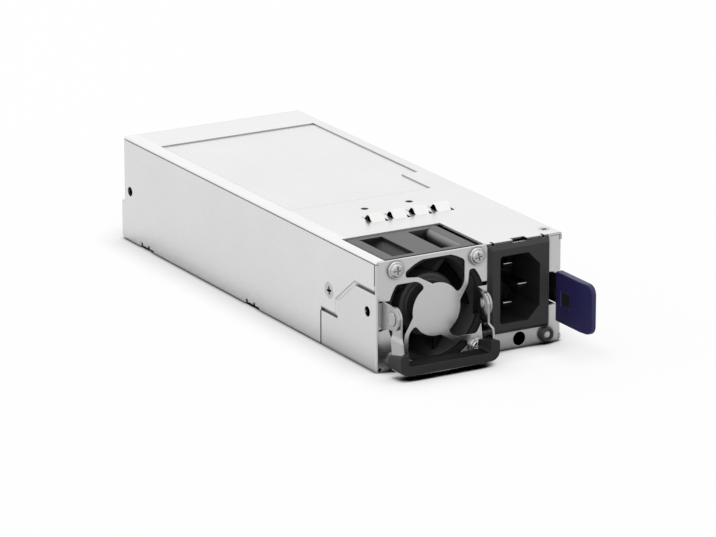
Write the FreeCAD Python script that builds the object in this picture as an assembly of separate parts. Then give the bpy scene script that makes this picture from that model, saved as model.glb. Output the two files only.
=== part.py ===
import FreeCAD, Part
import math
import os
from FreeCAD import Vector

# Hot swap server power supply. Millimetres.
# X runs across the module, to the right seen from the front panel.
# Y runs from the front panel (-Y) to the card edge (+Y). Z is up.
# The origin is the middle of the underside of the case.

# Case
CASE_W = 73.5
CASE_H = 39.0
CASE_L = 185.0
SHEET = 0.8
SEAM = 0.15
STEP_H = 14.5
STEP_BACK = 2.2
REAR_CHAMFER = 1.4
LID_FLANGE = 4.0

# General clearances
RUN = 0.05
MOVE_GAP = 0.3
SHEET_BEND = 0.5
LID_SEAM = 0.2
ARM_GAP = 0.15

# Front panel
PANEL_T = 0.8
PANEL_BEND = 0.75
PANEL_LIFT_W = 39.2
CORNER_HOLE_R = 0.65
CORNER_HOLE_X = 1.4
CORNER_HOLE_Z = 1.0
CORNER_NOTCH_L = 4.0

# Left flange of the panel and the pressed step around it: distances from the
# front edge and heights above the underside
FLANGE_L = 37.3
FLANGE_REAR_H = 12.3
FLANGE_STEP_Y = 26.2
FLANGE_STEP_H = 18.2
FLANGE_TOP_Y = 14.0
FLANGE_TOP_H = 27.4
STEP_BAND = 1.5

# Right flange of the panel
RIGHT_FLANGE_L = 12.0
RIGHT_FLANGE_MARGIN = 2.6

# Fan
FAN_SIDE = 38.0
FAN_DEPTH = 28.0
FAN_INSET = 4.4
FAN_CORNER_R = 2.0
FAN_WALL = 0.8
FAN_FRONT_FLANGE = 3.6
FAN_REAR_FLANGE = 2.4
FAN_POST = 4.3
FAN_POST_R = 3.0
BARREL_IN = 0.7
FAN_RIB_W = 10.4
FAN_SCREW_INSET = 3.0
GASKET_T = 1.1
LID_FAN_GAP_X = 0.5
LID_FAN_GAP_Y = 0.15
HUB_R = 11.3
HUB_RECESS = 3.4
HUB_DEPTH = 18.8
HUB_WALL = 0.9
TIP_GAP = 0.6
BLADES = 5
BLADE_T = 0.9
BLADE_TWIST = 52.0
MAGNET_T = 1.0
AIR_GAP = 0.5
SHAFT_R = 1.5
BEARING_R = 2.7
BEARING_L = 2.2
TUBE_WALL = 1.2
SPIDER_T = 2.0
SPIDER_ARMS = 4
SPIDER_ARM_W = 2.2
STATOR_TEETH = 6

# Finger guard, pressed out of the panel
GUARD_RIGHT = 0.3
GUARD_BELOW = 0.4
GUARD_OVER = 0.3
GUARD_FLAT_IN = 0.5
GUARD_LEFT_FLAT_OUT = 0.2
GUARD_CORNER_R = 0.9
GUARD_SWEEP_R = 1.6
GUARD_LOBE_R = 1.1
OPENING_W = 9.9
SPOKE_OFF = 8.25
SPOKE_W = 1.9
SHOULDER_L = 5.05
SHOULDER_DROP = 0.55
SPOKE_TIP_BACK = 0.75
SWEEP_FROM = 100
SWEEP_TO = 31
LOBE_Z = 9.2

# Ears and handle: distances are from the panel's face and from the pivot
EAR_FROM_LEFT = 2.4
HANDLE_SPAN = 37.0
PIVOT_OUT = 6.4
PIVOT_Z = 20.7
EAR_R = 4.2
EAR_ROOT_DOWN = 5.7
EAR_SLOPE_L = 3.8
EAR_LAND = 0.7
RELIEF_L = 1.5
RELIEF_H = 0.66
RIGHT_RELIEF_L = 4.3
RIGHT_RELIEF_H = 1.5
ARM_T = 0.8
ARM_END_R = 4.1
ARM_REAR = 5.0
CRANK_TOP = 6.0
CRANK_BOTTOM = 7.5
CRANK_OUT = 0.7
CRANK_FRONT = 12.3
BLADE_FRONT = 12.9
BLADE_REAR = 6.0
RIVET_R = 1.25
RIVET_HEAD_R = 2.5
RIVET_HEAD_T = 0.4
RIVET_TAIL_R = 1.9
RIVET_TAIL_T = 0.45
GRIP_PROUD = 1.1
GRIP_BOTTOM = 1.8
GRIP_BAR_T = 3.5
GRIP_BAR_REAR = 7.8
GRIP_TOP = 9.8
GRIP_TOP_REAR = 8.0
GRIP_END_W = 3.4
GRIP_REAR = 5.5
GRIP_FRONT = 14.0
GRIP_CORNER_R = 3.4
GRIP_INNER_R = 0.9
GRIP_EDGE_R = 0.9
STRIP_W = 3.4
STRIP_UP = 0.9

# Screws
SCREW_R = 1.45
PAN_R = 3.15
PAN_T = 1.9
FAN_SCREW_L = 9.0
FLAT_HEAD_R = 2.9
CROSS_W = 0.75
CROSS_L = 2.9
CROSS_D = 1.0
SCREW_FIT = 0.03
SIDE_SCREW_L = 3.2
SIDE_SCREW_Z = 20.8
SCREW_BEHIND_FAN = 2.1
SCREW_FROM_REAR = 47.0
LID_SCREW_IN = 3.5
LID_SCREW_Y = 5.75
LID_SCREW_R = 1.0
LID_HEAD_R = 2.0

# Mains inlet
INLET_W = 24.5
INLET_INSET = 5.2
INLET_TOP_GAP = 1.0
INLET_BOTTOM = 6.3
INLET_PROUD = 1.5
INLET_BEVEL = 1.3
INLET_RIGHT_BEVEL = 0.6
INLET_LAND = 0.2
CAVITY_W = 15.9
CAVITY_H = 24.2
CAVITY_CUT = 4.7
CAVITY_R = 1.2
CAVITY_D = 17.5
INLET_WALL = 1.6
INLET_BACK = 2.5
INLET_FIT = 0.2
PIN_W = 4.0
PIN_T = 2.0
PIN_PITCH = 14.0
PIN_OFFSET = 2.0
PIN_TIP_IN = 4.8
EARTH_TIP_IN = 1.8
PIN_TAIL = 6.0

# Status light and service hole
LIGHT_IN = 6.15
LIGHT_Z = 3.4
LIGHT_R = 2.75
LIGHT_PROUD = 1.8
LIGHT_NECK_R = 2.1
LIGHT_NECK_L = 3.0
LENS_R = 1.45
LENS_L = 9.0
HOLE_FROM_RIGHT = 16.7
HOLE_Z = 3.3
HOLE_R = 2.45

# Side wall holes
FRONT_HOLE_Y = 6.0
FRONT_HOLE_Z = 20.4
FRONT_HOLE_R = 1.8
REAR_HOLE_IN = 6.3
REAR_HOLE_Z = 19.1
REAR_HOLE_R = 1.7
SLOT_L = 9.5
SLOT_H = 1.0
SLOT_IN = 1.8
SLOT_NOTCH_W = 1.2
SLOT_NOTCH_H = 1.9
SLOT_NOTCH_Y = 3.0
SLOT_1_Y = 81.5
SLOT_2_IN = 14.7

# Release latch
NOTCH_W = 5.0
NOTCH_LOW = 13.4
NOTCH_HIGH = 25.3
LEVER_T = 1.0
LEVER_WALL_GAP = 0.6
LEVER_EDGE_GAP = 0.7
LATCH_PIN_Y = 45.0
LATCH_PIN_R = 1.2
EYE_WALL = 1.0
HOOK_Y = 8.0
HOOK_L = 6.5
HOOK_OUT = 1.6
HOOK_H = 6.0
TAB_T = 2.7
TAB_INNER = 1.1
TAB_GAP = 2.0
TAB_TIP = 23.8
TAB_BOTTOM = 8.2
TAB_TOP = 26.0
TAB_R = 3.4
TAB_LEAD = 6.4
TAB_LEAD_IN = 1.1
TAB_EDGE = 0.5
POCKET_Y = 4.9
POCKET_L = 5.6
POCKET_Z = 14.4
POCKET_H = 5.2
POCKET_D = 0.6
BRACKET_T = 0.8
BRACKET_L = 9.0
COIL_WIRE_R = 0.25
COIL_R = 1.75
COIL_TURNS = 3

# Lid details
FIELD_SIDE_L = 5.5
FIELD_SIDE_R = 4.5
FIELD_REAR_IN = 20.6
FIELD_FRONT = 69.0
FIELD_NOTCH_W = 6.5
FIELD_NOTCH_Y = 89.0
FIELD_DEPTH = 0.4
WINDOW_LEFT = 23.2
WINDOW_Y = 41.4
WINDOW_L = 8.0
WINDOW_RIGHT_GAP = 0.9
FINGERS = 4
FINGER_W = 5.3
FINGER_PITCH = 8.8
FINGER_T = 0.25
FINGER_RISE = 2.2
FINGER_RIM = 2.0
FINGER_CREST = 1.4
FINGER_CREST_R = 0.9
FINGER_HOLE_Y = 58.0
FINGER_HOLE_1 = 29.2
FINGER_HOLE_STEP = 18.0
FINGER_HOLE_R = 1.3
LID_SLOT_FROM_RIGHT = 19.6
LID_SLOT_W = 5.6
LID_SLOT_L = 2.2
LID_RELIEF_W = 0.8
LID_RELIEF_L = 1.7

# Rear wall
VENT_R = 2.1
VENT_PITCH = 5.0
VENT_MARGIN = 4.0
CARD_W = 54.0
CARD_OUT = 8.4
CARD_SLOT_GAP = 0.8
CARD_BEVEL = 0.5
PAD_T = 0.05
POWER_PADS = 8
POWER_PAD_W = 3.6
SIGNAL_PADS = 11
SIGNAL_PAD_W = 0.8
PAD_GAP = 0.5
PAD_L = 6.6

# Main board
BOARD_T = 1.6
BOARD_Z = 4.0
BOARD_SIDE_GAP = 2.0
BOARD_FRONT_GAP = 1.5
STANDOFF_R = 2.3
SHEET_INSULATOR = 0.3
INSULATOR_HOLE_GAP = 0.3

# Derived places
LEFT = -CASE_W / 2
RIGHT = CASE_W / 2
FRONT = -CASE_L / 2
REAR = CASE_L / 2
WALL_TOP = CASE_H - SHEET
UPPER_REAR = REAR - STEP_BACK
FAN_X = LEFT + FAN_INSET + FAN_SIDE / 2
FAN_Z = CASE_H / 2
FAN_FRONT = FRONT + PANEL_T + GASKET_T
FAN_BACK = FAN_FRONT + FAN_DEPTH
BARREL_R = FAN_SIDE / 2 - BARREL_IN
BORE_R = BARREL_R - FAN_WALL
GUARD_X = FAN_X + GUARD_RIGHT
GUARD_Z = FAN_Z - GUARD_BELOW
GUARD_R = FAN_SIDE / 2 + GUARD_OVER
LIFT_END = LEFT + FAN_INSET + PANEL_LIFT_W
INLET_R = RIGHT - INLET_INSET
INLET_L = INLET_R - INLET_W
INLET_X = (INLET_L + INLET_R) / 2
INLET_TOP = CASE_H - INLET_TOP_GAP
INLET_Z = (INLET_BOTTOM + INLET_TOP) / 2
PIVOT_Y = FRONT - PIVOT_OUT
LEFT_SCREW_Y = FAN_BACK + SCREW_BEHIND_FAN
RIGHT_SCREW_Y = REAR - SCREW_FROM_REAR
HANDLE_X = LEFT + EAR_FROM_LEFT + HANDLE_SPAN / 2
EAR_OUT = HANDLE_SPAN / 2
EAR_IN = EAR_OUT - PANEL_T
EAR_TOP = PIVOT_Z + EAR_R
EAR_LOW = PIVOT_Z - EAR_ROOT_DOWN
ARM_OUT = EAR_IN - ARM_GAP
ARM_IN = ARM_OUT - ARM_T
ARM_FRONT = PIVOT_OUT + ARM_END_R
LEVER_X = RIGHT - SHEET - LEVER_WALL_GAP
LATCH_Y = FRONT + LATCH_PIN_Y
EYE_R = LATCH_PIN_R + RUN + EYE_WALL
LATCH_X = LEVER_X - EYE_R
EYE_LOW = NOTCH_LOW + LEVER_EDGE_GAP
EYE_HIGH = NOTCH_HIGH - LEVER_EDGE_GAP
BOARD_TOP = BOARD_Z + BOARD_T
BOARD_FRONT = FAN_BACK + BOARD_FRONT_GAP


def box(x0, y0, z0, x1, y1, z1):
    return Part.makeBox(x1 - x0, y1 - y0, z1 - z0, Vector(x0, y0, z0))


def rod(axis, x, y, z, radius, length):
    """Round bar from the point (x, y, z) along +axis."""
    direction = {"X": Vector(1, 0, 0), "Y": Vector(0, 1, 0), "Z": Vector(0, 0, 1)}[axis]
    return Part.makeCylinder(radius, length, Vector(x, y, z), direction)


def tube(axis, x, y, z, outer, inner, length):
    return rod(axis, x, y, z, outer, length).cut(rod(axis, x, y, z, inner, length))


def spot(axis, u, v, at):
    """A point from its two in-plane values and its place along the axis."""
    return {"X": Vector(at, u, v), "Y": Vector(u, at, v), "Z": Vector(u, v, at)}[axis]


def outline(axis, points, at):
    corners = [spot(axis, u, v, at) for u, v in points]
    return Part.makePolygon(corners + corners[:1])


def slab(axis, points, at, thick):
    """Flat piece: the outline lies square to the axis and is given thickness along it."""
    return Part.Face(outline(axis, points, at)).extrude(spot(axis, 0, 0, thick))


def fuse(shapes):
    whole = shapes[0]
    for shape in shapes[1:]:
        whole = whole.fuse(shape)
    return whole.removeSplitter()


def runs_along(edge, axis):
    if len(edge.Vertexes) != 2 or edge.Curve.TypeId != "Part::GeomLine":
        return False
    run = edge.Vertexes[1].Point.sub(edge.Vertexes[0].Point)
    along = abs({"X": run.x, "Y": run.y, "Z": run.z}[axis])
    return along > 0.999 * run.Length


def round_edges(shape, radius, axis, near=lambda point: True):
    """Round the straight edges along one axis whose middle passes the test."""
    edges = [edge for edge in shape.Edges if runs_along(edge, axis) and near(edge.CenterOfMass)]
    return shape.makeFillet(radius, edges) if edges else shape


def mirrored(shape, x):
    return shape.mirror(Vector(x, 0, 0), Vector(1, 0, 0))


def turned(shape, x, y, z, axis, angle):
    direction = {"X": Vector(1, 0, 0), "Y": Vector(0, 1, 0), "Z": Vector(0, 0, 1)}[axis]
    copy = shape.copy()
    copy.rotate(Vector(x, y, z), direction, angle)
    return copy


def from_front(points):
    return [(FRONT + y, z) for y, z in points]


# ---------------------------------------------------------------- case sheets

def flange_outline(grow, rear_grow=0.0):
    """Left flange of the panel seen from the side. grow is the width of the step around it."""
    slope = math.atan2(FLANGE_TOP_H - FLANGE_STEP_H, FLANGE_STEP_Y - FLANGE_TOP_Y)
    lean = grow * math.tan(slope / 2)
    turn = grow * math.tan((math.pi / 2 - slope) / 2)
    rear = FLANGE_L + SEAM + rear_grow
    return from_front([
        (0, 0),
        (rear, 0),
        (rear, FLANGE_REAR_H + grow),
        (FLANGE_STEP_Y + grow, FLANGE_REAR_H + grow),
        (FLANGE_STEP_Y + grow, FLANGE_STEP_H + turn),
        (FLANGE_TOP_Y + lean, FLANGE_TOP_H + grow),
        (0, FLANGE_TOP_H + grow),
    ])


def left_step(wall):
    """Press the left wall inwards by one sheet where the panel's flange lies on it."""
    outer = outline("X", flange_outline(STEP_BAND), LEFT)
    inner = outline("X", flange_outline(SEAM), LEFT + SHEET)
    hollow = Part.makeLoft([outer, inner], True, True)
    deep = slab("X", flange_outline(STEP_BAND, STEP_BAND), LEFT + SHEET, SHEET)
    keep = box(LEFT, FRONT + PANEL_T + SEAM, SHEET, RIGHT, REAR, CASE_H)
    return wall.cut(hollow).fuse(deep.common(keep))


def right_flange_heights():
    low = RIGHT_FLANGE_MARGIN
    high = CASE_H - RIGHT_FLANGE_MARGIN
    return [(low, NOTCH_LOW), (NOTCH_HIGH, high)]


def right_step(wall):
    """Press the right wall inwards behind the two lugs of the panel's right flange."""
    back = FRONT + RIGHT_FLANGE_L + SEAM
    for low, high in right_flange_heights():
        gap = box(RIGHT - SHEET, FRONT, low - SEAM, RIGHT, back, high + SEAM)
        pad = box(RIGHT - 2 * SHEET, FRONT + PANEL_T + SEAM, low, RIGHT - SHEET, back + SHEET, high)
        wall = wall.cut(gap).fuse(pad)
    return wall


def side_slots(pan):
    """Slots along the two lower edges, each with two notches in its upper side."""
    for start in (FRONT + SLOT_1_Y, REAR - SLOT_2_IN - SLOT_L):
        for side in (-1, 1):
            edge = side * RIGHT
            low = min(edge, edge - side * SLOT_IN)
            pan = pan.cut(box(low, start, 0, low + SLOT_IN, start + SLOT_L, SLOT_H))
            for y in (start + SLOT_NOTCH_Y, start + SLOT_L - SLOT_NOTCH_W):
                pan = pan.cut(box(low, y, 0, low + SLOT_IN, y + SLOT_NOTCH_W, SLOT_NOTCH_H))
    return pan


def fan_window(z, thick):
    return box(
        LEFT + FAN_INSET - LID_FAN_GAP_X, FRONT + PANEL_T + SEAM, z,
        LEFT + FAN_INSET + FAN_SIDE + LID_FAN_GAP_X, FAN_BACK + LID_FAN_GAP_Y, z + thick)


def lid_screw_place():
    return RIGHT - LID_SCREW_IN, FRONT + LID_SCREW_Y


def chassis():
    """Folded pan: floor and two walls, stepped back above the card edge."""
    pan = box(LEFT, FRONT, 0, RIGHT, REAR, WALL_TOP)
    pan = pan.cut(box(LEFT + SHEET, FRONT, SHEET, RIGHT - SHEET, REAR, CASE_H))
    pan = round_edges(pan, SHEET_BEND, "Y", lambda point: point.z < SHEET / 2)
    pan = pan.cut(box(LEFT, UPPER_REAR, STEP_H, RIGHT, REAR, CASE_H))
    corner = [(REAR - REAR_CHAMFER, 0), (REAR, 0), (REAR, REAR_CHAMFER)]
    pan = pan.cut(slab("X", corner, LEFT, CASE_W))
    pan = pan.cut(box(LEFT, FRONT, 0, RIGHT, FRONT + PANEL_T + SEAM, SHEET))
    pan = pan.cut(fan_window(0, SHEET))
    pan = pan.cut(box(LEFT, FRONT, 0, LEFT + SHEET, FRONT + PANEL_T + SEAM, WALL_TOP))
    pan = right_step(left_step(pan))
    pan = side_slots(pan)
    low = NOTCH_LOW - SEAM
    high = NOTCH_HIGH + SEAM
    window = box(RIGHT - 2 * SHEET, FRONT, low, RIGHT, FRONT + HOOK_Y + HOOK_L + 2 * MOVE_GAP, high)
    pan = pan.cut(window)
    corner = rod("Y", LEFT + CORNER_HOLE_X, FRONT, CORNER_HOLE_Z, CORNER_HOLE_R + SEAM, CORNER_NOTCH_L)
    pan = pan.cut(corner)
    pan = pan.cut(box(LEFT, FRONT, WALL_TOP - LID_SEAM, RIGHT, REAR, WALL_TOP))
    rear_y = REAR - REAR_HOLE_IN
    pan = pan.cut(rod("X", LEFT, rear_y, REAR_HOLE_Z, REAR_HOLE_R, CASE_W))
    pan = pan.cut(rod("X", LEFT, FRONT + FRONT_HOLE_Y, FRONT_HOLE_Z, FRONT_HOLE_R, 3 * SHEET))
    for place, side in side_screw_places():
        pan = pan.cut(flat_screw_hole(place, side, SHEET))
    x, y = lid_screw_place()
    reach = LID_HEAD_R + SHEET
    tab = box(x - reach, y - reach, WALL_TOP - SHEET, RIGHT - SHEET, y + reach, WALL_TOP)
    tab = tab.cut(rod("Z", x, y, WALL_TOP - SHEET, LID_SCREW_R, SHEET))
    pan = pan.fuse(tab)
    return [pan.removeSplitter()]


def field_outline(grow):
    """Shallow field in the lid. grow moves every side outwards."""
    left = LEFT + FIELD_SIDE_L - grow
    right = RIGHT - FIELD_SIDE_R + grow
    front = FRONT + FIELD_FRONT - grow
    notch = FRONT + FIELD_NOTCH_Y - grow
    rear = REAR - FIELD_REAR_IN + grow
    return [
        (left, front), (right - FIELD_NOTCH_W, front), (right - FIELD_NOTCH_W, notch),
        (right, notch), (right, rear), (left, rear)]


def finger_places():
    """Left edge of each spring finger."""
    return [LEFT + WINDOW_LEFT + FINGER_PITCH * count for count in range(FINGERS)]


def finger_holes(z, radius, length):
    places = [LEFT + FINGER_HOLE_1 + step * FINGER_HOLE_STEP for step in range(2)]
    return [rod("Z", x, FRONT + FINGER_HOLE_Y, z, radius, length) for x in places]


def top_cover():
    """Lid: flat sheet with a sunk field, the fan opening and the spring window."""
    lid = box(LEFT, FRONT, WALL_TOP, RIGHT, UPPER_REAR, CASE_H)
    lid = round_edges(lid, SHEET_BEND, "Y", lambda point: point.z > CASE_H - SHEET / 2)
    lid = lid.cut(box(LEFT + SHEET + SEAM, FRONT, WALL_TOP, LIFT_END, FRONT + PANEL_T + SEAM, CASE_H))
    sunk = slab("Z", field_outline(0), CASE_H - FIELD_DEPTH, FIELD_DEPTH)
    proud = slab("Z", field_outline(SHEET - FIELD_DEPTH), WALL_TOP - FIELD_DEPTH, FIELD_DEPTH)
    lid = lid.fuse(proud).cut(sunk)
    lid = lid.cut(fan_window(WALL_TOP, SHEET))
    y0 = FRONT + WINDOW_Y
    for x in finger_places():
        right = x + FINGER_W + WINDOW_RIGHT_GAP
        lid = lid.cut(box(x - SEAM, y0, WALL_TOP, right, y0 + WINDOW_L, CASE_H))
    for hole in finger_holes(WALL_TOP, FINGER_HOLE_R, SHEET):
        lid = lid.cut(hole)
    slot_x = RIGHT - LID_SLOT_FROM_RIGHT
    lid = lid.cut(box(slot_x, FRONT, WALL_TOP, slot_x + LID_SLOT_W, FRONT + LID_SLOT_L, CASE_H))
    for x in (INLET_L + LID_RELIEF_L, INLET_R - INLET_INSET / 2):
        lid = lid.cut(box(x, FRONT, WALL_TOP, x + LID_RELIEF_W, FRONT + LID_RELIEF_L, CASE_H))
    flange_y = FAN_BACK + SHEET
    side = box(
        LEFT + SHEET + SEAM, flange_y, WALL_TOP - LID_FLANGE,
        LEFT + 2 * SHEET + SEAM, UPPER_REAR - 2 * SHEET, WALL_TOP)
    lid = lid.fuse(side).fuse(mirrored(side, 0))
    x, y = lid_screw_place()
    cone = Part.makeCone(LID_SCREW_R, LID_HEAD_R, SHEET, Vector(x, y, WALL_TOP))
    lid = lid.cut(cone)
    return [lid.removeSplitter()]


# ----------------------------------------------------------- panel and guard

def guard_opening(flat):
    """One of the four swept openings round the guard's disc, as a cutter through the panel.

    flat is how far from the centre the rim is cut straight.
    """
    disc = GUARD_R - OPENING_W
    spoke_in = GUARD_R - SPOKE_OFF
    spoke_out = spoke_in + SPOKE_W

    def on_circle(radius, degrees):
        angle = math.radians(degrees)
        return radius * math.cos(angle), radius * math.sin(angle)

    def on_rim(x):
        return x, math.sqrt(GUARD_R ** 2 - x ** 2)

    leave = on_circle(disc, SWEEP_FROM)
    corner = (SPOKE_TIP_BACK - spoke_out, spoke_out)
    shoulder = (corner[0] + SHOULDER_L, spoke_out - SHOULDER_DROP)
    rim_left = on_rim(corner[0])
    flat_x = math.sqrt(GUARD_R ** 2 - flat ** 2)
    rim_right = on_rim(spoke_in)
    lobe_top = (spoke_in, LOBE_Z)
    lobe_end = on_circle(disc, SWEEP_TO)
    across = spoke_in - lobe_end[0]
    down = LOBE_Z - lobe_end[1]
    lobe_r = (across ** 2 + down ** 2) / (2 * across)
    half_turn = math.atan2(down, lobe_r - across) / 2
    lobe_low = (spoke_in - lobe_r + lobe_r * math.cos(half_turn), LOBE_Z - lobe_r * math.sin(half_turn))

    def place(point):
        return Vector(GUARD_X + point[0], FRONT, GUARD_Z + point[1])

    def line(start, end):
        return Part.LineSegment(place(start), place(end)).toShape()

    def arc(start, middle, end):
        return Part.Arc(place(start), place(middle), place(end)).toShape()

    def rim(start, end):
        angles = [math.degrees(math.atan2(point[1], point[0])) for point in (start, end)]
        return arc(start, on_circle(GUARD_R, sum(angles) / 2), end)

    edges = [
        line(leave, shoulder),
        line(shoulder, corner),
        line(corner, rim_left),
        rim(rim_left, (-flat_x, flat)),
        line((-flat_x, flat), (flat_x, flat)),
        rim((flat_x, flat), rim_right),
        line(rim_right, lobe_top),
        arc(lobe_top, lobe_low, lobe_end),
        arc(lobe_end, on_circle(disc, (SWEEP_FROM + SWEEP_TO) / 2), leave),
    ]
    face = Part.Face(Part.Wire(edges))
    cutter = face.extrude(Vector(0, PANEL_T, 0))

    def near_tip(point):
        return abs(point.x - GUARD_X - corner[0]) < 0.01

    def near_sweep(point):
        return abs(point.x - GUARD_X - spoke_in) < 0.01 and point.z > GUARD_Z + spoke_out

    def near_lobe(point):
        return point.distanceToPoint(place(lobe_end) + Vector(0, PANEL_T / 2, 0)) < 0.01

    cutter = round_edges(cutter, GUARD_CORNER_R, "Y", near_tip)
    cutter = round_edges(cutter, GUARD_LOBE_R, "Y", near_lobe)
    return round_edges(cutter, GUARD_SWEEP_R, "Y", near_sweep)


def fan_screw_places():
    reach = FAN_SIDE / 2 - FAN_SCREW_INSET
    return [(FAN_X + sx * reach, FAN_Z + sz * reach) for sx in (-1, 1) for sz in (-1, 1)]


def ear_place(side):
    """Outer face of an ear and its lower x. side is -1 for the left one, 1 for the right one."""
    outer = HANDLE_X + side * EAR_OUT
    return outer, min(outer, outer - side * PANEL_T)


def ear(side):
    """Ear bent forward out of the panel: a deep root that narrows to a round end."""
    low = ear_place(side)[1]
    root = FRONT + PANEL_T
    flap = slab("X", [
        (root, EAR_TOP),
        (PIVOT_Y, EAR_TOP),
        (PIVOT_Y, PIVOT_Z - EAR_R),
        (FRONT - EAR_SLOPE_L, PIVOT_Z - EAR_R),
        (FRONT, EAR_LOW),
        (root, EAR_LOW)], low, PANEL_T)
    tip = rod("X", low, PIVOT_Y, PIVOT_Z, EAR_R, PANEL_T)
    return flap.fuse(tip).cut(rod("X", low, PIVOT_Y, PIVOT_Z, RIVET_R, PANEL_T))


def ear_land(side):
    """Metal beside the guard opening that carries an ear's bend."""
    outer = ear_place(side)[0]
    edge = GUARD_X + side * (GUARD_R + EAR_LAND)
    inner = outer - side * PANEL_T
    return box(min(inner, edge), FRONT, EAR_LOW, max(inner, edge), FRONT + PANEL_T, EAR_TOP)


def ear_window(side):
    """Gap in the panel that an ear's flap was bent out of."""
    inner = ear_place(side)[0] - side * PANEL_T
    reach = GUARD_X + side * (GUARD_R - OPENING_W / 2)
    return box(min(inner, reach), FRONT, EAR_LOW, max(inner, reach), FRONT + PANEL_T, EAR_TOP)


def ear_reliefs(side, length, height):
    """Round-ended slots that stop an ear's bend above and below its root."""
    outer = ear_place(side)[0]
    far = outer + side * length
    reliefs = []
    for z, up in ((EAR_TOP, 1), (EAR_LOW, -1)):
        middle = z + up * (height - RELIEF_H) / 2
        slot = box(
            min(outer, far), FRONT, middle - height / 2,
            max(outer, far), FRONT + PANEL_T, middle + height / 2)
        reliefs.append(round_edges(slot, RELIEF_H * 0.49, "Y", lambda point: abs(point.x - far) < 0.01))
    return reliefs


def panel_flanges():
    left = slab("X", flange_outline(0), LEFT, SHEET - SEAM)
    left = left.cut(box(LEFT, FRONT + FLANGE_L, 0, RIGHT, REAR, CASE_H))
    flanges = [left]
    for low, high in right_flange_heights():
        flange = box(RIGHT - SHEET + SEAM, FRONT, low, RIGHT, FRONT + RIGHT_FLANGE_L, high)
        flanges.append(flange)
    return flanges


def front_panel():
    """Pressed panel: finger guard, inlet cut-out, two ears and the side flanges."""
    inset = SHEET + SEAM
    face = box(LEFT + inset, FRONT, 0, RIGHT - inset, FRONT + PANEL_T, WALL_TOP - SEAM)
    lift = box(LEFT + inset, FRONT, 0, LIFT_END - SEAM, FRONT + PANEL_T, CASE_H)
    bend = box(LEFT, FRONT, 0, LEFT + inset, FRONT + PANEL_T, WALL_TOP - SEAM)
    wraps = [box(RIGHT - inset, FRONT, low, RIGHT, FRONT + PANEL_T, high)
             for low, high in right_flange_heights()]
    panel = fuse([face, lift, bend] + wraps)
    flat = FAN_SIDE / 2 - GUARD_FLAT_IN
    left_flat = FAN_SIDE / 2 + GUARD_LEFT_FLAT_OUT
    for angle, reach in ((0, flat), (90, flat), (180, flat), (270, left_flat)):
        panel = panel.cut(turned(guard_opening(reach), GUARD_X, FRONT, GUARD_Z, "Y", angle))
    for side in (-1, 1):
        panel = panel.fuse(ear_land(side)).cut(ear_window(side))
    panel = fuse([panel, ear(-1), ear(1)] + panel_flanges())
    panel = round_edges(panel, PANEL_BEND, "Z", lambda point: abs(abs(point.x) - RIGHT) < 0.01
                        and point.y < FRONT + 0.01)
    reliefs = ear_reliefs(-1, RELIEF_L, RELIEF_H) + ear_reliefs(1, RIGHT_RELIEF_L, RIGHT_RELIEF_H)
    for relief in reliefs:
        panel = panel.cut(relief)
    panel = panel.cut(rod("Y", LEFT + CORNER_HOLE_X, FRONT, CORNER_HOLE_Z, CORNER_HOLE_R, PANEL_T))
    for x, z in fan_screw_places():
        panel = panel.cut(rod("Y", x, FRONT, z, SCREW_R + SCREW_FIT, PANEL_T))
    panel = panel.cut(inlet_body(FRONT, PANEL_T, INLET_WALL + INLET_FIT))
    notch_x = RIGHT - NOTCH_W
    panel = panel.cut(box(notch_x, FRONT, NOTCH_LOW, RIGHT, FRONT + PANEL_T, NOTCH_HIGH))
    panel = panel.cut(rod("Y", RIGHT - HOLE_FROM_RIGHT, FRONT, HOLE_Z, HOLE_R, PANEL_T))
    panel = panel.cut(rod("Y", RIGHT - LIGHT_IN, FRONT, LIGHT_Z, LIGHT_NECK_R, PANEL_T))
    panel = panel.cut(rod("X", LEFT, FRONT + FRONT_HOLE_Y, FRONT_HOLE_Z, FRONT_HOLE_R, SHEET))
    return [panel.removeSplitter()]


# ------------------------------------------------------------------- screws

def cross_recess(axis, x, y, z):
    """Cross recess centred on the point, sunk both ways along the axis."""
    arm = CROSS_L / 2
    half = CROSS_W / 2
    if axis == "X":
        bars = [box(x - CROSS_D, y - arm, z - half, x + CROSS_D, y + arm, z + half)]
        bars.append(box(x - CROSS_D, y - half, z - arm, x + CROSS_D, y + half, z + arm))
    elif axis == "Y":
        bars = [box(x - arm, y - CROSS_D, z - half, x + arm, y + CROSS_D, z + half)]
        bars.append(box(x - half, y - CROSS_D, z - arm, x + half, y + CROSS_D, z + arm))
    else:
        bars = [box(x - arm, y - half, z - CROSS_D, x + arm, y + half, z + CROSS_D)]
        bars.append(box(x - half, y - arm, z - CROSS_D, x + half, y + arm, z + CROSS_D))
    return bars[0].fuse(bars[1])


def fan_screws():
    screws = []
    for x, z in fan_screw_places():
        head = rod("Y", x, FRONT - PAN_T, z, PAN_R, PAN_T)
        rim = [edge for edge in head.Edges if edge.CenterOfMass.y < FRONT - PAN_T + 0.01]
        head = head.makeFillet(PAN_T * 0.55, [edge for edge in rim if len(edge.Vertexes) == 1])
        screw = head.fuse(rod("Y", x, FRONT, z, SCREW_R, FAN_SCREW_L))
        screws.append(screw.cut(cross_recess("Y", x, FRONT - PAN_T, z)).removeSplitter())
    return screws


def side_screw_places():
    return [((LEFT, LEFT_SCREW_Y, SIDE_SCREW_Z), 1), ((RIGHT, RIGHT_SCREW_Y, SIDE_SCREW_Z), -1)]


def flat_screw_hole(place, side, depth):
    """Countersunk hole through one side wall. side points into the case."""
    x, y, z = place
    start = Vector(x, y, z)
    inwards = Vector(side, 0, 0)
    cone = Part.makeCone(FLAT_HEAD_R, SCREW_R, depth, start, inwards)
    return cone.fuse(Part.makeCylinder(SCREW_R, 2 * depth, start, inwards))


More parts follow.
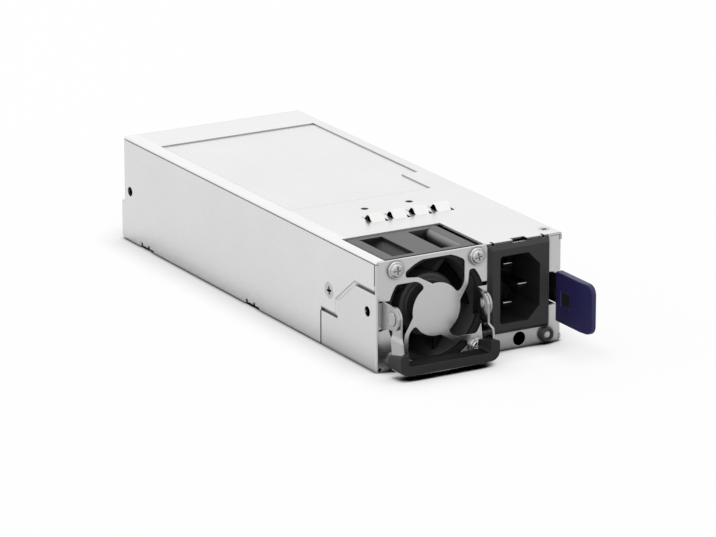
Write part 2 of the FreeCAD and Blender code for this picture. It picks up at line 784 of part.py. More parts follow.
def side_screws():
    screws = []
    for (x, y, z), side in side_screw_places():
        inwards = Vector(side, 0, 0)
        head = Part.makeCone(FLAT_HEAD_R, SCREW_R, SHEET, Vector(x, y, z), inwards)
        shank = Part.makeCylinder(SCREW_R, SIDE_SCREW_L, Vector(x, y, z), inwards)
        screws.append(head.fuse(shank).cut(cross_recess("X", x, y, z)).removeSplitter())
    return screws


def cover_screw():
    x, y = lid_screw_place()
    head = Part.makeCone(LID_SCREW_R, LID_HEAD_R, SHEET, Vector(x, y, WALL_TOP))
    shank = rod("Z", x, y, WALL_TOP - 2 * SHEET, LID_SCREW_R, 3 * SHEET)
    recess = cross_recess("Z", x, y, CASE_H + CROSS_D / 2)
    return [head.fuse(shank).cut(recess).removeSplitter()]


# ---------------------------------------------------------------------- fan

def fan_block(y, depth):
    x0 = LEFT + FAN_INSET
    z0 = FAN_Z - FAN_SIDE / 2
    block = box(x0, y, z0, x0 + FAN_SIDE, y + depth, z0 + FAN_SIDE)
    return round_edges(block, FAN_CORNER_R, "Y")


def fan_frame():
    """Square housing: round bore, pockets beside the barrel, and the motor spider at the back."""
    half = FAN_SIDE / 2
    frame = fan_block(FAN_FRONT, FAN_DEPTH)
    barrel = rod("Y", FAN_X, FAN_FRONT, FAN_Z, BARREL_R, FAN_DEPTH)
    y0 = FAN_FRONT + FAN_FRONT_FLANGE
    y1 = FAN_BACK - FAN_REAR_FLANGE
    for side in (-1, 1):
        near = FAN_RIB_W / 2
        far = half - FAN_POST
        x0 = FAN_X + min(side * near, side * far)
        post_x = FAN_X + side * far
        low = FAN_Z + half - FAN_POST_R
        pocket = box(x0, y0, FAN_Z + near, x0 + far - near, y1, FAN_Z + half).cut(barrel)
        post = rod("Y", post_x, y0, low, FAN_POST_R, y1 - y0)
        post = post.fuse(box(post_x - FAN_POST_R, y0, FAN_Z, post_x + FAN_POST_R, y1, low))
        pocket = pocket.cut(post)
        for quarter in range(4):
            frame = frame.cut(turned(pocket, FAN_X, 0, FAN_Z, "Y", 90 * quarter))
    frame = frame.cut(rod("Y", FAN_X, FAN_FRONT, FAN_Z, BORE_R, FAN_DEPTH))
    for x, z in fan_screw_places():
        frame = frame.cut(rod("Y", x, FAN_FRONT, z, SCREW_R + SCREW_FIT, FAN_DEPTH))
    base = rod("Y", FAN_X, FAN_BACK - SPIDER_T, FAN_Z, HUB_R, SPIDER_T)
    tube_start = FAN_FRONT + HUB_RECESS + HUB_WALL + 2 * AIR_GAP
    tube_r = BEARING_R + TUBE_WALL
    post = rod("Y", FAN_X, tube_start, FAN_Z, tube_r, FAN_BACK - tube_start)
    parts = [frame, base, post]
    for count in range(SPIDER_ARMS):
        arm = box(
            FAN_X, FAN_BACK - SPIDER_T, FAN_Z - SPIDER_ARM_W / 2,
            FAN_X + BORE_R + FAN_WALL / 2, FAN_BACK, FAN_Z + SPIDER_ARM_W / 2)
        parts.append(turned(arm, FAN_X, 0, FAN_Z, "Y", 45 + 360 / SPIDER_ARMS * count))
    whole = fuse(parts)
    bore = rod("Y", FAN_X, tube_start, FAN_Z, BEARING_R, FAN_BACK - tube_start - SPIDER_T / 2)
    return [whole.cut(bore)]


def fan_rotor():
    """Hub cup with swept blades."""
    start = FAN_FRONT + HUB_RECESS
    hub = rod("Y", FAN_X, start, FAN_Z, HUB_R, HUB_DEPTH)
    front = [edge for edge in hub.Edges if len(edge.Vertexes) == 1 and edge.CenterOfMass.y < start + 0.01]
    hub = hub.makeFillet(HUB_WALL, front)
    root = HUB_R - HUB_WALL / 2
    tip = BORE_R - TIP_GAP
    chord = HUB_DEPTH - 3 * BLADE_T
    sections = []
    for step in range(4):
        part = step / 3
        angle = math.radians(BLADE_TWIST * part)
        y = start + BLADE_T + chord * part
        ends = []
        for radius, across in ((root, -1), (tip, -1), (tip, 1), (root, 1)):
            side = across * BLADE_T / 2
            x = radius * math.cos(angle) - side * math.sin(angle)
            z = radius * math.sin(angle) + side * math.cos(angle)
            ends.append(Vector(FAN_X + x, y, FAN_Z + z))
        sections.append(Part.makePolygon(ends + ends[:1]))
    blade = Part.makeLoft(sections, True, True)
    rim = tube("Y", FAN_X, start, FAN_Z, tip, root, HUB_DEPTH)
    blade = blade.common(rim)
    parts = [hub] + [turned(blade, FAN_X, 0, FAN_Z, "Y", 360 / BLADES * count) for count in range(BLADES)]
    whole = fuse(parts)
    cup = rod("Y", FAN_X, start + HUB_WALL, FAN_Z, HUB_R - HUB_WALL, HUB_DEPTH)
    whole = whole.cut(cup)
    return [whole.cut(rod("Y", FAN_X, start, FAN_Z, SHAFT_R, HUB_DEPTH))]


def fan_magnet():
    outer = HUB_R - HUB_WALL
    start = FAN_FRONT + HUB_RECESS + HUB_WALL + 2 * AIR_GAP
    return [tube("Y", FAN_X, start, FAN_Z, outer, outer - MAGNET_T, HUB_DEPTH - 6 * AIR_GAP)]


def fan_shaft():
    start = FAN_FRONT + HUB_RECESS + AIR_GAP
    return [rod("Y", FAN_X, start, FAN_Z, SHAFT_R, FAN_BACK - SPIDER_T / 2 - MOVE_GAP - start)]


def fan_bearings():
    first = FAN_FRONT + HUB_RECESS + HUB_WALL + 2 * AIR_GAP
    second = FAN_BACK - SPIDER_T - BEARING_L
    return [tube("Y", FAN_X, y, FAN_Z, BEARING_R, SHAFT_R + RUN, BEARING_L) for y in (first, second)]


def fan_stator():
    """Laminated star with a coil on each tooth, pushed onto the bearing tube."""
    inner = BEARING_R + TUBE_WALL + RUN
    outer = HUB_R - HUB_WALL - MAGNET_T - AIR_GAP
    start = FAN_FRONT + HUB_RECESS + HUB_WALL + 6 * AIR_GAP
    length = HUB_DEPTH - 12 * AIR_GAP
    star = tube("Y", FAN_X, start, FAN_Z, inner + 1.2, inner, length)
    shoe = tube("Y", FAN_X, start, FAN_Z, outer, outer - 0.9, length)
    coils = tube("Y", FAN_X, start + AIR_GAP, FAN_Z, outer - 1.1, inner + 1.2, length - 2 * AIR_GAP)
    parts = [star, coils]
    for count in range(STATOR_TEETH):
        tooth = box(FAN_X, start, FAN_Z - 2.6, FAN_X + outer, start + length, FAN_Z + 2.6).common(shoe)
        parts.append(turned(tooth, FAN_X, 0, FAN_Z, "Y", 360 / STATOR_TEETH * count))
        stem = box(FAN_X + inner + 1.0, start, FAN_Z - 0.8, FAN_X + outer - 0.5, start + length, FAN_Z + 0.8)
        parts.append(turned(stem, FAN_X, 0, FAN_Z, "Y", 360 / STATOR_TEETH * count))
    return [fuse(parts)]


def fan_gasket():
    """Foam between panel and fan; its top edge stands up level with the lid."""
    foam = fan_block(FRONT + PANEL_T, GASKET_T)
    lip = box(
        FAN_X - FAN_SIDE / 2, FRONT + PANEL_T, FAN_Z + BORE_R,
        FAN_X + FAN_SIDE / 2, FRONT + PANEL_T + GASKET_T, CASE_H)
    foam = foam.fuse(lip).removeSplitter()
    foam = foam.cut(rod("Y", FAN_X, FRONT + PANEL_T, FAN_Z, BORE_R, GASKET_T))
    for x, z in fan_screw_places():
        foam = foam.cut(rod("Y", x, FRONT + PANEL_T, z, SCREW_R + SCREW_FIT, GASKET_T))
    return [foam]


# ------------------------------------------------------------------- handle

def arm_side(side):
    """One arm of the bail: round end on the rivet, outward crank, and blade down to the grip."""
    def between(a, b):
        low = HANDLE_X + side * a
        high = HANDLE_X + side * b
        return min(low, high), abs(high - low)

    x, t = between(ARM_IN, ARM_OUT)
    top = PIVOT_Z - CRANK_TOP
    low = PIVOT_Z - CRANK_BOTTOM
    upper = slab("X", from_front([
        (-ARM_REAR, PIVOT_Z),
        (-ARM_REAR, top),
        (-ARM_FRONT, top),
        (-ARM_FRONT, PIVOT_Z)]), x, t)
    end = rod("X", x, PIVOT_Y, PIVOT_Z, ARM_END_R, t)

    def ring(inner, front, z):
        x0, width = between(inner, inner + ARM_T)
        y0 = FRONT - front
        y1 = FRONT - ARM_REAR
        corners = [(x0, y0), (x0 + width, y0), (x0 + width, y1), (x0, y1)]
        return outline("Z", corners, z)

    above = ring(ARM_IN, ARM_FRONT, top)
    below = ring(ARM_IN + CRANK_OUT, CRANK_FRONT, low)
    crank = Part.makeLoft([above, below], True, True)
    x_low, t_low = between(ARM_IN + CRANK_OUT, ARM_OUT + CRANK_OUT)
    bottom = GRIP_BOTTOM + STRIP_UP
    blade = slab("X", from_front([
        (-ARM_REAR, low),
        (-BLADE_REAR, GRIP_TOP_REAR),
        (-BLADE_REAR, bottom),
        (-BLADE_FRONT, bottom),
        (-BLADE_FRONT, GRIP_TOP),
        (-CRANK_FRONT, low)]), x_low, t_low)
    whole = fuse([upper, end, crank, blade])
    return whole.cut(rod("X", x, PIVOT_Y, PIVOT_Z, RIVET_R + RUN, t))


def handle_bail():
    """Steel bail: two cranked arms joined by a strip that runs inside the grip."""
    reach = ARM_OUT + CRANK_OUT
    middle = FRONT - (GRIP_BAR_REAR + GRIP_FRONT) / 2
    low = GRIP_BOTTOM + STRIP_UP
    strip = box(
        HANDLE_X - reach, middle - STRIP_W / 2, low,
        HANDLE_X + reach, middle + STRIP_W / 2, low + ARM_T)
    return [fuse([arm_side(-1), arm_side(1), strip])]


def handle_grip():
    """Moulded grip: bar with a sloped upright at each end, closed round the bail."""
    half = EAR_OUT + GRIP_PROUD
    bar_top = GRIP_BOTTOM + GRIP_BAR_T
    inner = half - GRIP_END_W
    grip = slab("X", from_front([
        (-GRIP_FRONT, GRIP_BOTTOM),
        (-GRIP_REAR, GRIP_BOTTOM),
        (-GRIP_REAR, GRIP_TOP_REAR),
        (-GRIP_FRONT, GRIP_TOP)]), HANDLE_X - half, 2 * half)
    ends = [edge for edge in grip.Edges
            if runs_along(edge, "Y") and edge.CenterOfMass.z < GRIP_BOTTOM + 0.01]
    grip = grip.makeFillet(GRIP_CORNER_R, ends)
    hollow = box(HANDLE_X - inner, FRONT - GRIP_FRONT, bar_top, HANDLE_X + inner, FRONT, CASE_H)
    behind = box(HANDLE_X - inner, FRONT - GRIP_BAR_REAR, 0, HANDLE_X + inner, FRONT, CASE_H)
    grip = grip.cut(hollow).cut(behind)
    grip = round_edges(grip, GRIP_INNER_R, "Y", lambda point: abs(point.z - bar_top) < 0.01)
    front = [edge for edge in grip.Edges if abs(edge.CenterOfMass.y - FRONT + GRIP_FRONT) < 0.01]
    grip = grip.makeFillet(GRIP_EDGE_R, front)
    rear = [edge for edge in grip.Edges if abs(edge.CenterOfMass.y - FRONT + GRIP_REAR) < 0.01]
    grip = grip.makeFillet(GRIP_EDGE_R, rear)
    return [grip.cut(handle_bail()[0])]


def handle_rivets():
    rivets = []
    for side in (-1, 1):
        out = Vector(-side, 0, 0)
        face = HANDLE_X + side * EAR_OUT
        length = EAR_OUT - ARM_IN + ARM_GAP
        head = Part.makeCylinder(RIVET_HEAD_R, RIVET_HEAD_T, Vector(face, PIVOT_Y, PIVOT_Z), -out)
        far = [edge for edge in head.Edges
               if len(edge.Vertexes) == 1 and abs(edge.CenterOfMass.x - face) > RIVET_HEAD_T / 2]
        head = head.makeFillet(RIVET_HEAD_T * 0.6, far)
        shank = Part.makeCylinder(RIVET_R, length, Vector(face, PIVOT_Y, PIVOT_Z), out)
        tail_x = face - side * length
        tail = Part.makeCylinder(RIVET_TAIL_R, RIVET_TAIL_T, Vector(tail_x, PIVOT_Y, PIVOT_Z), out)
        rivets.append(fuse([head, shank, tail]))
    return rivets


# -------------------------------------------------------------- mains inlet

def cavity_outline(grow):
    """Socket outline: two corners cut on the right, two rounded on the left."""
    x0 = INLET_X - CAVITY_W / 2 - grow
    x1 = INLET_X + CAVITY_W / 2 + grow
    z0 = INLET_Z - CAVITY_H / 2 - grow
    z1 = INLET_Z + CAVITY_H / 2 + grow
    cut = CAVITY_CUT + grow * math.tan(math.radians(22.5))
    return [(x0, z0), (x1 - cut, z0), (x1, z0 + cut), (x1, z1 - cut), (x1 - cut, z1), (x0, z1)]


def inlet_body(y, depth, grow):
    body = slab("Y", cavity_outline(grow), y, depth)
    left = INLET_X - CAVITY_W / 2 - grow
    return round_edges(body, CAVITY_R, "Y", lambda point: abs(point.x - left) < 0.01)


def pin_places():
    """Places of the two live pins and the earth pin, and how far each tip stands back."""
    return [(INLET_X - PIN_OFFSET, INLET_Z + PIN_PITCH / 2, PIN_TIP_IN),
            (INLET_X - PIN_OFFSET, INLET_Z - PIN_PITCH / 2, PIN_TIP_IN),
            (INLET_X + PIN_OFFSET, INLET_Z, EARTH_TIP_IN)]


def pin_blade(x, z, y0, y1):
    return box(x - PIN_W / 2, y0, z - PIN_T / 2, x + PIN_W / 2, y1, z + PIN_T / 2)


def inlet_housing():
    """Bevelled flange in front of the panel and the socket body behind it."""
    face_y = FRONT - INLET_PROUD

    def frame(bevel, right_bevel, at):
        x0, x1 = INLET_L + bevel, INLET_R - right_bevel
        z0, z1 = INLET_BOTTOM + bevel, INLET_TOP - bevel
        return outline("Y", [(x0, z0), (x1, z0), (x1, z1), (x0, z1)], at)

    foot = FRONT - INLET_LAND
    slope = [frame(0, 0, foot), frame(INLET_BEVEL, INLET_RIGHT_BEVEL, face_y)]
    land = box(INLET_L, foot, INLET_BOTTOM, INLET_R, FRONT, INLET_TOP)
    flange = Part.makeLoft(slope, True, True).fuse(land)
    depth = INLET_PROUD + CAVITY_D + INLET_BACK
    body = inlet_body(face_y, depth, INLET_WALL)
    body = body.common(box(INLET_L, FRONT - SEAM, 0, INLET_R, REAR, CASE_H))
    whole = fuse([flange, body])
    whole = whole.cut(inlet_body(face_y, INLET_PROUD + CAVITY_D, 0))
    back = face_y + INLET_PROUD + CAVITY_D
    for x, z, tip in pin_places():
        whole = whole.cut(pin_blade(x, z, back, back + INLET_BACK))
    return [whole]


def inlet_pins():
    back = FRONT + CAVITY_D + INLET_BACK + PIN_TAIL
    pins = []
    for x, z, tip in pin_places():
        pin = pin_blade(x, z, FRONT - INLET_PROUD + tip, back)
        nose = [edge for edge in pin.Edges if edge.CenterOfMass.y < FRONT - INLET_PROUD + tip + 0.01]
        pins.append(pin.makeChamfer(PIN_T / 5, nose))
    return pins


def status_bezel():
    x = RIGHT - LIGHT_IN
    ring = rod("Y", x, FRONT - LIGHT_PROUD, LIGHT_Z, LIGHT_R, LIGHT_PROUD)
    rim = [edge for edge in ring.Edges
           if len(edge.Vertexes) == 1 and edge.CenterOfMass.y < FRONT - LIGHT_PROUD + 0.01]
    ring = ring.makeFillet(LIGHT_PROUD / 3, rim)
    neck = rod("Y", x, FRONT, LIGHT_Z, LIGHT_NECK_R, LIGHT_NECK_L)
    bore = rod("Y", x, FRONT - LIGHT_PROUD, LIGHT_Z, LENS_R, LIGHT_PROUD + LIGHT_NECK_L)
    return [fuse([ring, neck]).cut(bore)]


def status_lens():
    x = RIGHT - LIGHT_IN
    start = FRONT - LIGHT_PROUD
    pipe = rod("Y", x, start, LIGHT_Z, LENS_R, LENS_L)
    dome = [edge for edge in pipe.Edges
            if len(edge.Vertexes) == 1 and edge.CenterOfMass.y < start + 0.01]
    return [pipe.makeFillet(LENS_R * 0.6, dome)]


# ------------------------------------------------------------ release latch

def latch_lever():
    """Steel lever: tang for the tab, hook bent out through the wall, and a rolled eye."""
    x0 = LEVER_X - LEVER_T
    low = NOTCH_LOW + LEVER_EDGE_GAP
    high = NOTCH_HIGH - LEVER_EDGE_GAP
    tang_end = FRONT - TAB_TIP + TAB_LEAD + TAB_EDGE
    strip = box(x0, tang_end, low, LEVER_X, LATCH_Y, high)
    middle = (low + high) / 2
    hook_y = FRONT + HOOK_Y
    tip_x = RIGHT + HOOK_OUT
    hook = slab("Z", [
        (x0, hook_y),
        (tip_x - LEVER_T, hook_y),
        (tip_x, hook_y + LEVER_T),
        (tip_x, hook_y + 2 * LEVER_T),
        (LEVER_X, hook_y + HOOK_L),
        (x0, hook_y + HOOK_L)], middle - HOOK_H / 2, HOOK_H)
    eye = rod("Z", LATCH_X, LATCH_Y, low, EYE_R, high - low)
    lever = fuse([strip, hook, eye])
    lever = lever.cut(rod("Z", LATCH_X, LATCH_Y, low, LATCH_PIN_R + RUN, high - low))
    coil_room = box(
        LATCH_X - EYE_R, LATCH_Y - EYE_R - MOVE_GAP, middle - coil_height() / 2 - MOVE_GAP,
        LEVER_X, LATCH_Y + EYE_R, middle + coil_height() / 2 + MOVE_GAP)
    return [lever.cut(coil_room)]


def coil_height():
    return (COIL_TURNS + 1) * 2 * COIL_WIRE_R * 1.3


def latch_spring():
    """Torsion coil round the pin, in the gap of the lever's eye."""
    middle = (NOTCH_LOW + NOTCH_HIGH) / 2
    pitch = 2 * COIL_WIRE_R * 1.3
    height = pitch * COIL_TURNS
    path = Part.makeHelix(pitch, height, COIL_R)
    path.translate(Vector(LATCH_X, LATCH_Y, middle - height / 2))
    start = Vector(LATCH_X + COIL_R, LATCH_Y, middle - height / 2)
    ring = Part.Wire(Part.makeCircle(COIL_WIRE_R, start, Vector(0, 1, 0)))
    return [Part.Wire(path).makePipeShell([ring], True, True)]


def latch_pin():
    low = EYE_LOW - MOVE_GAP - BRACKET_T
    high = EYE_HIGH + MOVE_GAP + BRACKET_T
    return [rod("Z", LATCH_X, LATCH_Y, low, LATCH_PIN_R, high - low)]


def latch_bracket():
    """U-shaped bracket on the inside of the right wall that holds the pin's two ends."""
    low = EYE_LOW - MOVE_GAP - BRACKET_T
    high = EYE_HIGH + MOVE_GAP + BRACKET_T
    base_y = LATCH_Y + EYE_R + MOVE_GAP
    end_y = base_y + BRACKET_L
    wall = RIGHT - SHEET
    base = box(wall - BRACKET_T, base_y, low, wall, end_y, high)
    parts = [base]
    for z in (low, high - BRACKET_T):
        lug = box(LATCH_X - EYE_R, LATCH_Y - EYE_R, z, wall - SHEET, end_y, z + BRACKET_T)
        parts.append(lug.cut(rod("Z", LATCH_X, LATCH_Y, z, LATCH_PIN_R, BRACKET_T)))
    return [fuse(parts)]


def latch_tab():
    """Moulded thumb tab on the lever's tang, with a lead-in at its tip and a moulded pocket."""
    x0 = LEVER_X - LEVER_T - TAB_INNER
    rear = -TAB_GAP
    tab = slab("X", from_front([
        (rear, TAB_BOTTOM),
        (-TAB_TIP, TAB_BOTTOM),
        (-TAB_TIP, TAB_TOP),
        (rear, TAB_TOP)]), x0, TAB_T)
    tab = round_edges(tab, TAB_R, "X", lambda point: point.y < FRONT - TAB_TIP + 0.01)
    tip = FRONT - TAB_TIP
    lead = slab("Z", [
        (x0, tip + TAB_LEAD),
        (x0 + TAB_LEAD_IN, tip),
        (x0, tip)], 0, CASE_H)
    tab = tab.cut(lead)
    edges = [edge for edge in tab.Edges
             if abs(edge.CenterOfMass.x - x0 - TAB_T) < 0.01 and edge.CenterOfMass.y < FRONT - TAB_GAP - 0.01]
    tab = tab.makeFillet(TAB_EDGE, edges)
    pocket_y = FRONT - POCKET_Y
    tab = tab.cut(box(x0, pocket_y - POCKET_L, POCKET_Z, x0 + POCKET_D, pocket_y, POCKET_Z + POCKET_H))
    return [tab.cut(latch_lever()[0])]


# ------------------------------------------------------------ lid and rear

def spring_fingers():
    """Thin strip under the lid with crested fingers that rise through the lid's windows."""
    places = finger_places()
    x0 = places[0] - SEAM
    x1 = places[-1] + FINGER_W + WINDOW_RIGHT_GAP
    y0 = FRONT + WINDOW_Y
    y1 = y0 + WINDOW_L
    low = WALL_TOP - FINGER_T
    strip = box(
        x0 - FINGER_RIM, y0 - FINGER_RIM, low,
        x1 + FINGER_RIM, FRONT + FINGER_HOLE_Y + 2 * FINGER_HOLE_R, WALL_TOP)
    rim = SEAM + 2 * FINGER_T
    strip = strip.cut(box(x0, y0 + rim, low, x1, y1 - rim, WALL_TOP))
    for hole in finger_holes(low, FINGER_HOLE_R, FINGER_T):
        strip = strip.cut(hole)
    top = CASE_H + FINGER_RISE
    middle = (y0 + y1) / 2
    half = FINGER_CREST / 2
    parts = [strip]
    for x in places:
        hill = slab("X", [
            (y0 + SEAM, low), (middle - half, top), (middle + half, top), (y1 - SEAM, low)], x, FINGER_W)
        hill = round_edges(hill, FINGER_CREST_R, "X", lambda point: point.z > top - 0.01)
        under = hill.copy()
        under.translate(Vector(0, 0, -2 * FINGER_T))
        parts.append(hill.cut(under))
    return [fuse(parts)]


def vent_holes(y, thick, low, high):
    """Staggered round vents that fill the wall between the two heights."""
    rows = int((high - low - 2 * VENT_R) // (VENT_PITCH * 0.87)) + 1
    row_gap = (high - low - 2 * VENT_R) / max(rows - 1, 1)
    span = CASE_W - 2 * VENT_MARGIN - 2 * VENT_R
    count = int(span // VENT_PITCH)
    holes = []
    for row in range(rows):
        z = low + VENT_R + row_gap * row
        shift = VENT_PITCH / 2 * (row % 2)
        for column in range(count):
            x = -VENT_PITCH * (count - 0.5) / 2 + VENT_PITCH * column + shift
            holes.append(rod("Y", x, y, z, VENT_R, thick))
    return Part.makeCompound(holes)


def rear_panel():
    """Rear wall: vented upper face, shelf, and lower face with the card slot."""
    x0 = LEFT + SHEET + SEAM
    x1 = RIGHT - SHEET - SEAM
    top = WALL_TOP
    upper = box(x0, UPPER_REAR - SHEET, STEP_H - SHEET, x1, UPPER_REAR, top)
    upper = upper.cut(vent_holes(UPPER_REAR - SHEET, SHEET, STEP_H + 2 * SHEET, top - 2 * SHEET))
    shelf = box(x0, UPPER_REAR - SHEET, STEP_H - SHEET, x1, REAR, STEP_H)
    lower = box(x0, REAR - SHEET, SHEET + REAR_CHAMFER, x1, REAR, STEP_H)
    half = CARD_W / 2 + CARD_SLOT_GAP
    slot = box(
        -half, REAR - SHEET, BOARD_Z - CARD_SLOT_GAP,
        half, REAR, BOARD_TOP + CARD_SLOT_GAP)
    return [fuse([upper, shelf, lower]).cut(slot)]


# --------------------------------------------------------------- main board

def standoff_places():
    xs = (LEFT + 8.0, RIGHT - 8.0)
    ys = (BOARD_FRONT + 6.0, (BOARD_FRONT + REAR) / 2, REAR - 14.0)
    return [(x, y) for x in xs for y in ys]


def board_standoffs():
    return [rod("Z", x, y, SHEET, STANDOFF_R, BOARD_Z - SHEET) for x, y in standoff_places()]


def insulator_sheet():
    gap = BOARD_SIDE_GAP
    film = box(
        LEFT + SHEET + gap, BOARD_FRONT, SHEET,
        RIGHT - SHEET - gap, REAR - REAR_CHAMFER - gap, SHEET + SHEET_INSULATOR)
    for x, y in standoff_places():
        film = film.cut(rod("Z", x, y, SHEET, STANDOFF_R + INSULATOR_HOLE_GAP, SHEET_INSULATOR))
    return [film]


def main_board():
    """Main board with the bevelled card-edge tongue that leaves the rear slot."""
    gap = SHEET + BOARD_SIDE_GAP
    board = box(
        LEFT + gap, BOARD_FRONT, BOARD_Z,
        RIGHT - gap, REAR - 2 * SHEET - SEAM, BOARD_TOP)
    half = CARD_W / 2
    tongue = box(-half, REAR - 6 * SHEET, BOARD_Z, half, REAR + CARD_OUT, BOARD_TOP)
    end = [edge for edge in tongue.Edges if abs(edge.CenterOfMass.y - REAR - CARD_OUT) < 0.01
           and runs_along(edge, "X")]
    tongue = tongue.makeChamfer(CARD_BEVEL, end)
    return [fuse([board, tongue])]


def edge_contacts():
    """Plated contacts on both faces of the tongue: wide power ones, narrow signal ones between."""
    signal_run = SIGNAL_PADS * (SIGNAL_PAD_W + PAD_GAP)
    widths = [POWER_PAD_W] * (POWER_PADS // 2) + [SIGNAL_PAD_W] * SIGNAL_PADS
    widths += [POWER_PAD_W] * (POWER_PADS // 2)
    total = POWER_PADS * (POWER_PAD_W + PAD_GAP) + signal_run - PAD_GAP
    x = -total / 2
    y = REAR + CARD_OUT - CARD_BEVEL - PAD_L - PAD_GAP
    pads = []
    for width in widths:
        for z in (BOARD_Z - PAD_T, BOARD_TOP):
            pads.append(box(x, y, z, x + width, y + PAD_L, z + PAD_T))
        x += width + PAD_GAP
    return pads


# ------------------------------------------------------- parts on the board

def on_board(x, y):
    """Place on the board from the left wall and from the board's front edge."""
    return LEFT + x, BOARD_FRONT + y


# Each component's place is from the left wall and from the board's front edge.
PLUG = {"x": 37.7, "y": 4.0, "w": 5.0, "l": 5.0, "h": 6.0, "edge": 0.5}
LEAD_R = 1.0
LEAD_OUT = 2.4
LEAD_DOWN = 7.0
LEAD_UP = 3.0


def block(size):
    """Upright box-shaped component with rounded edges."""
    x0, y0 = on_board(size["x"], size["y"])
    body = box(x0, y0, BOARD_TOP, x0 + size["w"], y0 + size["l"], BOARD_TOP + size["h"])
    return round_edges(body, size["edge"], "Z")


def fan_plug():
    return [block(PLUG)]


def fan_lead():
    """Round cable from the back of the fan housing down to its plug."""
    x, y = on_board(PLUG["x"] + PLUG["w"] / 2, PLUG["y"])
    low = BOARD_TOP + LEAD_UP
    high = FAN_Z + FAN_SIDE / 2 - LEAD_DOWN
    start = Vector(x, FAN_BACK, high)
    middle = Vector(x, FAN_BACK + LEAD_OUT, high)
    drop = Vector(x, FAN_BACK + LEAD_OUT, low)
    end = Vector(x, y, low)
    run = [Part.makeCylinder(LEAD_R, a.distanceToPoint(b), a, b.sub(a))
           for a, b in ((start, middle), (middle, drop), (drop, end))]
    bends = [Part.makeSphere(LEAD_R, point) for point in (middle, drop)]
    return [fuse(run + bends)]


FILTER_RING = {"x": 53.0, "y": 14.5, "outer": 8.6, "inner": 4.6, "h": 10.0, "up": 1.5}
FILTER_TURNS = {"starts": (20, 200), "sweep": 140}
BOOST_RING = {"x": 24.0, "y": 41.0, "outer": 11.0, "inner": 5.6, "h": 12.0, "up": 1.8}
BOOST_TURNS = {"starts": (15,), "sweep": 330}
WINDING_T = 1.3


def ring_core(ring):
    x, y = on_board(ring["x"], ring["y"])
    return tube("Z", x, y, BOARD_TOP + ring["up"], ring["outer"], ring["inner"], ring["h"])


def ring_winding(ring, start, sweep):
    """Winding on part of a ring core, closed round it."""
    x, y = on_board(ring["x"], ring["y"])
    z0 = BOARD_TOP + ring["up"] - WINDING_T
    z1 = BOARD_TOP + ring["up"] + ring["h"] + WINDING_T
    near = x + ring["inner"] - WINDING_T
    far = x + ring["outer"] + WINDING_T
    section = Part.makePolygon([
        Vector(near, y, z0), Vector(far, y, z0), Vector(far, y, z1), Vector(near, y, z1),
        Vector(near, y, z0)])
    coil = Part.Face(section).revolve(Vector(x, y, 0), Vector(0, 0, 1), sweep)
    return turned(coil, x, y, 0, "Z", start).cut(ring_core(ring))


def filter_choke_core():
    return [ring_core(FILTER_RING)]


def filter_choke_windings():
    return [ring_winding(FILTER_RING, start, FILTER_TURNS["sweep"]) for start in FILTER_TURNS["starts"]]


def boost_choke_core():
    return [ring_core(BOOST_RING)]


def boost_choke_winding():
    return [ring_winding(BOOST_RING, start, BOOST_TURNS["sweep"]) for start in BOOST_TURNS["starts"]]


FILTER_CAPACITOR = {"x": 24.0, "y": 2.5, "w": 13.0, "l": 18.0, "h": 20.0, "edge": 1.0}
RELAY = {"x": 9.5, "y": 3.0, "w": 10.5, "l": 20.0, "h": 16.0, "edge": 0.6}
RESONANT_CHOKE = {"x": 9.0, "y": 96.0, "w": 15.0, "l": 20.0, "h": 20.0, "edge": 1.5}


def filter_capacitor():
    return [block(FILTER_CAPACITOR)]


def relay():
    return [block(RELAY)]


def resonant_choke():
    return [block(RESONANT_CHOKE)]


FUSE = {"x": 44.0, "y": 29.5, "up": 4.0, "r": 2.6, "l": 20.0}
FUSE_CAP = {"r": 3.0, "l": 4.5}
FUSE_FOOT = {"in": 1.8, "t": 0.8, "h": 3.0}


def fuse_link():
    """Fuse lying across the board: body, two end caps and a foot under each."""
    x, y = on_board(FUSE["x"], FUSE["y"])
    z = BOARD_TOP + FUSE["up"]
    last = FUSE["l"] - FUSE_CAP["l"]
    body = rod("X", x, y, z, FUSE["r"], FUSE["l"])
    caps = [rod("X", x + shift, y, z, FUSE_CAP["r"], FUSE_CAP["l"]) for shift in (0, last)]
    half = FUSE_FOOT["t"] / 2
    top = BOARD_TOP + FUSE_FOOT["h"]
    inner = FUSE["l"] - FUSE_FOOT["in"] - FUSE_FOOT["t"]
    feet = [box(x + shift, y - half, BOARD_TOP, x + shift + FUSE_FOOT["t"], y + half, top)
            for shift in (FUSE_FOOT["in"], inner)]
    return [fuse([body] + caps + feet)]


BULK = {"x": 51.5, "y": 36.0, "r": 14.6, "l": 50.0, "edge": 1.0}
BULK_GROOVE = {"in": 3.5, "w": 1.4, "d": 0.7}


def bulk_capacitor():
    """Large can lying along the case, with its beaded shoulder."""
    x, y = on_board(BULK["x"], BULK["y"])
    radius = BULK["r"]
    z = BOARD_TOP + radius
    can = rod("Y", x, y, z, radius, BULK["l"])
    ends = [edge for edge in can.Edges if len(edge.Vertexes) == 1]
    can = can.makeFillet(BULK["edge"], ends)
    groove = tube(
        "Y", x, y + BULK_GROOVE["in"], z,
        radius + BULK_GROOVE["d"], radius - BULK_GROOVE["d"], BULK_GROOVE["w"])
    return [can.cut(groove)]


CORE = {"x": 7.5, "y": 58.0, "w": 29.0, "l": 28.0, "h": 24.0, "up": 2.0, "limb": 5.0, "post": 5.0}
BOBBIN_GAP = 0.3
BOBBIN_SIDE = 0.4
BOBBIN_END = 1.0
BOBBIN_EDGE = 6.0
BOBBIN_FIT = 0.2
LEG = {"w": 2.0, "t": 1.5, "out": 2.5}
RAIL = {"l": 4.0, "h": 2.0}


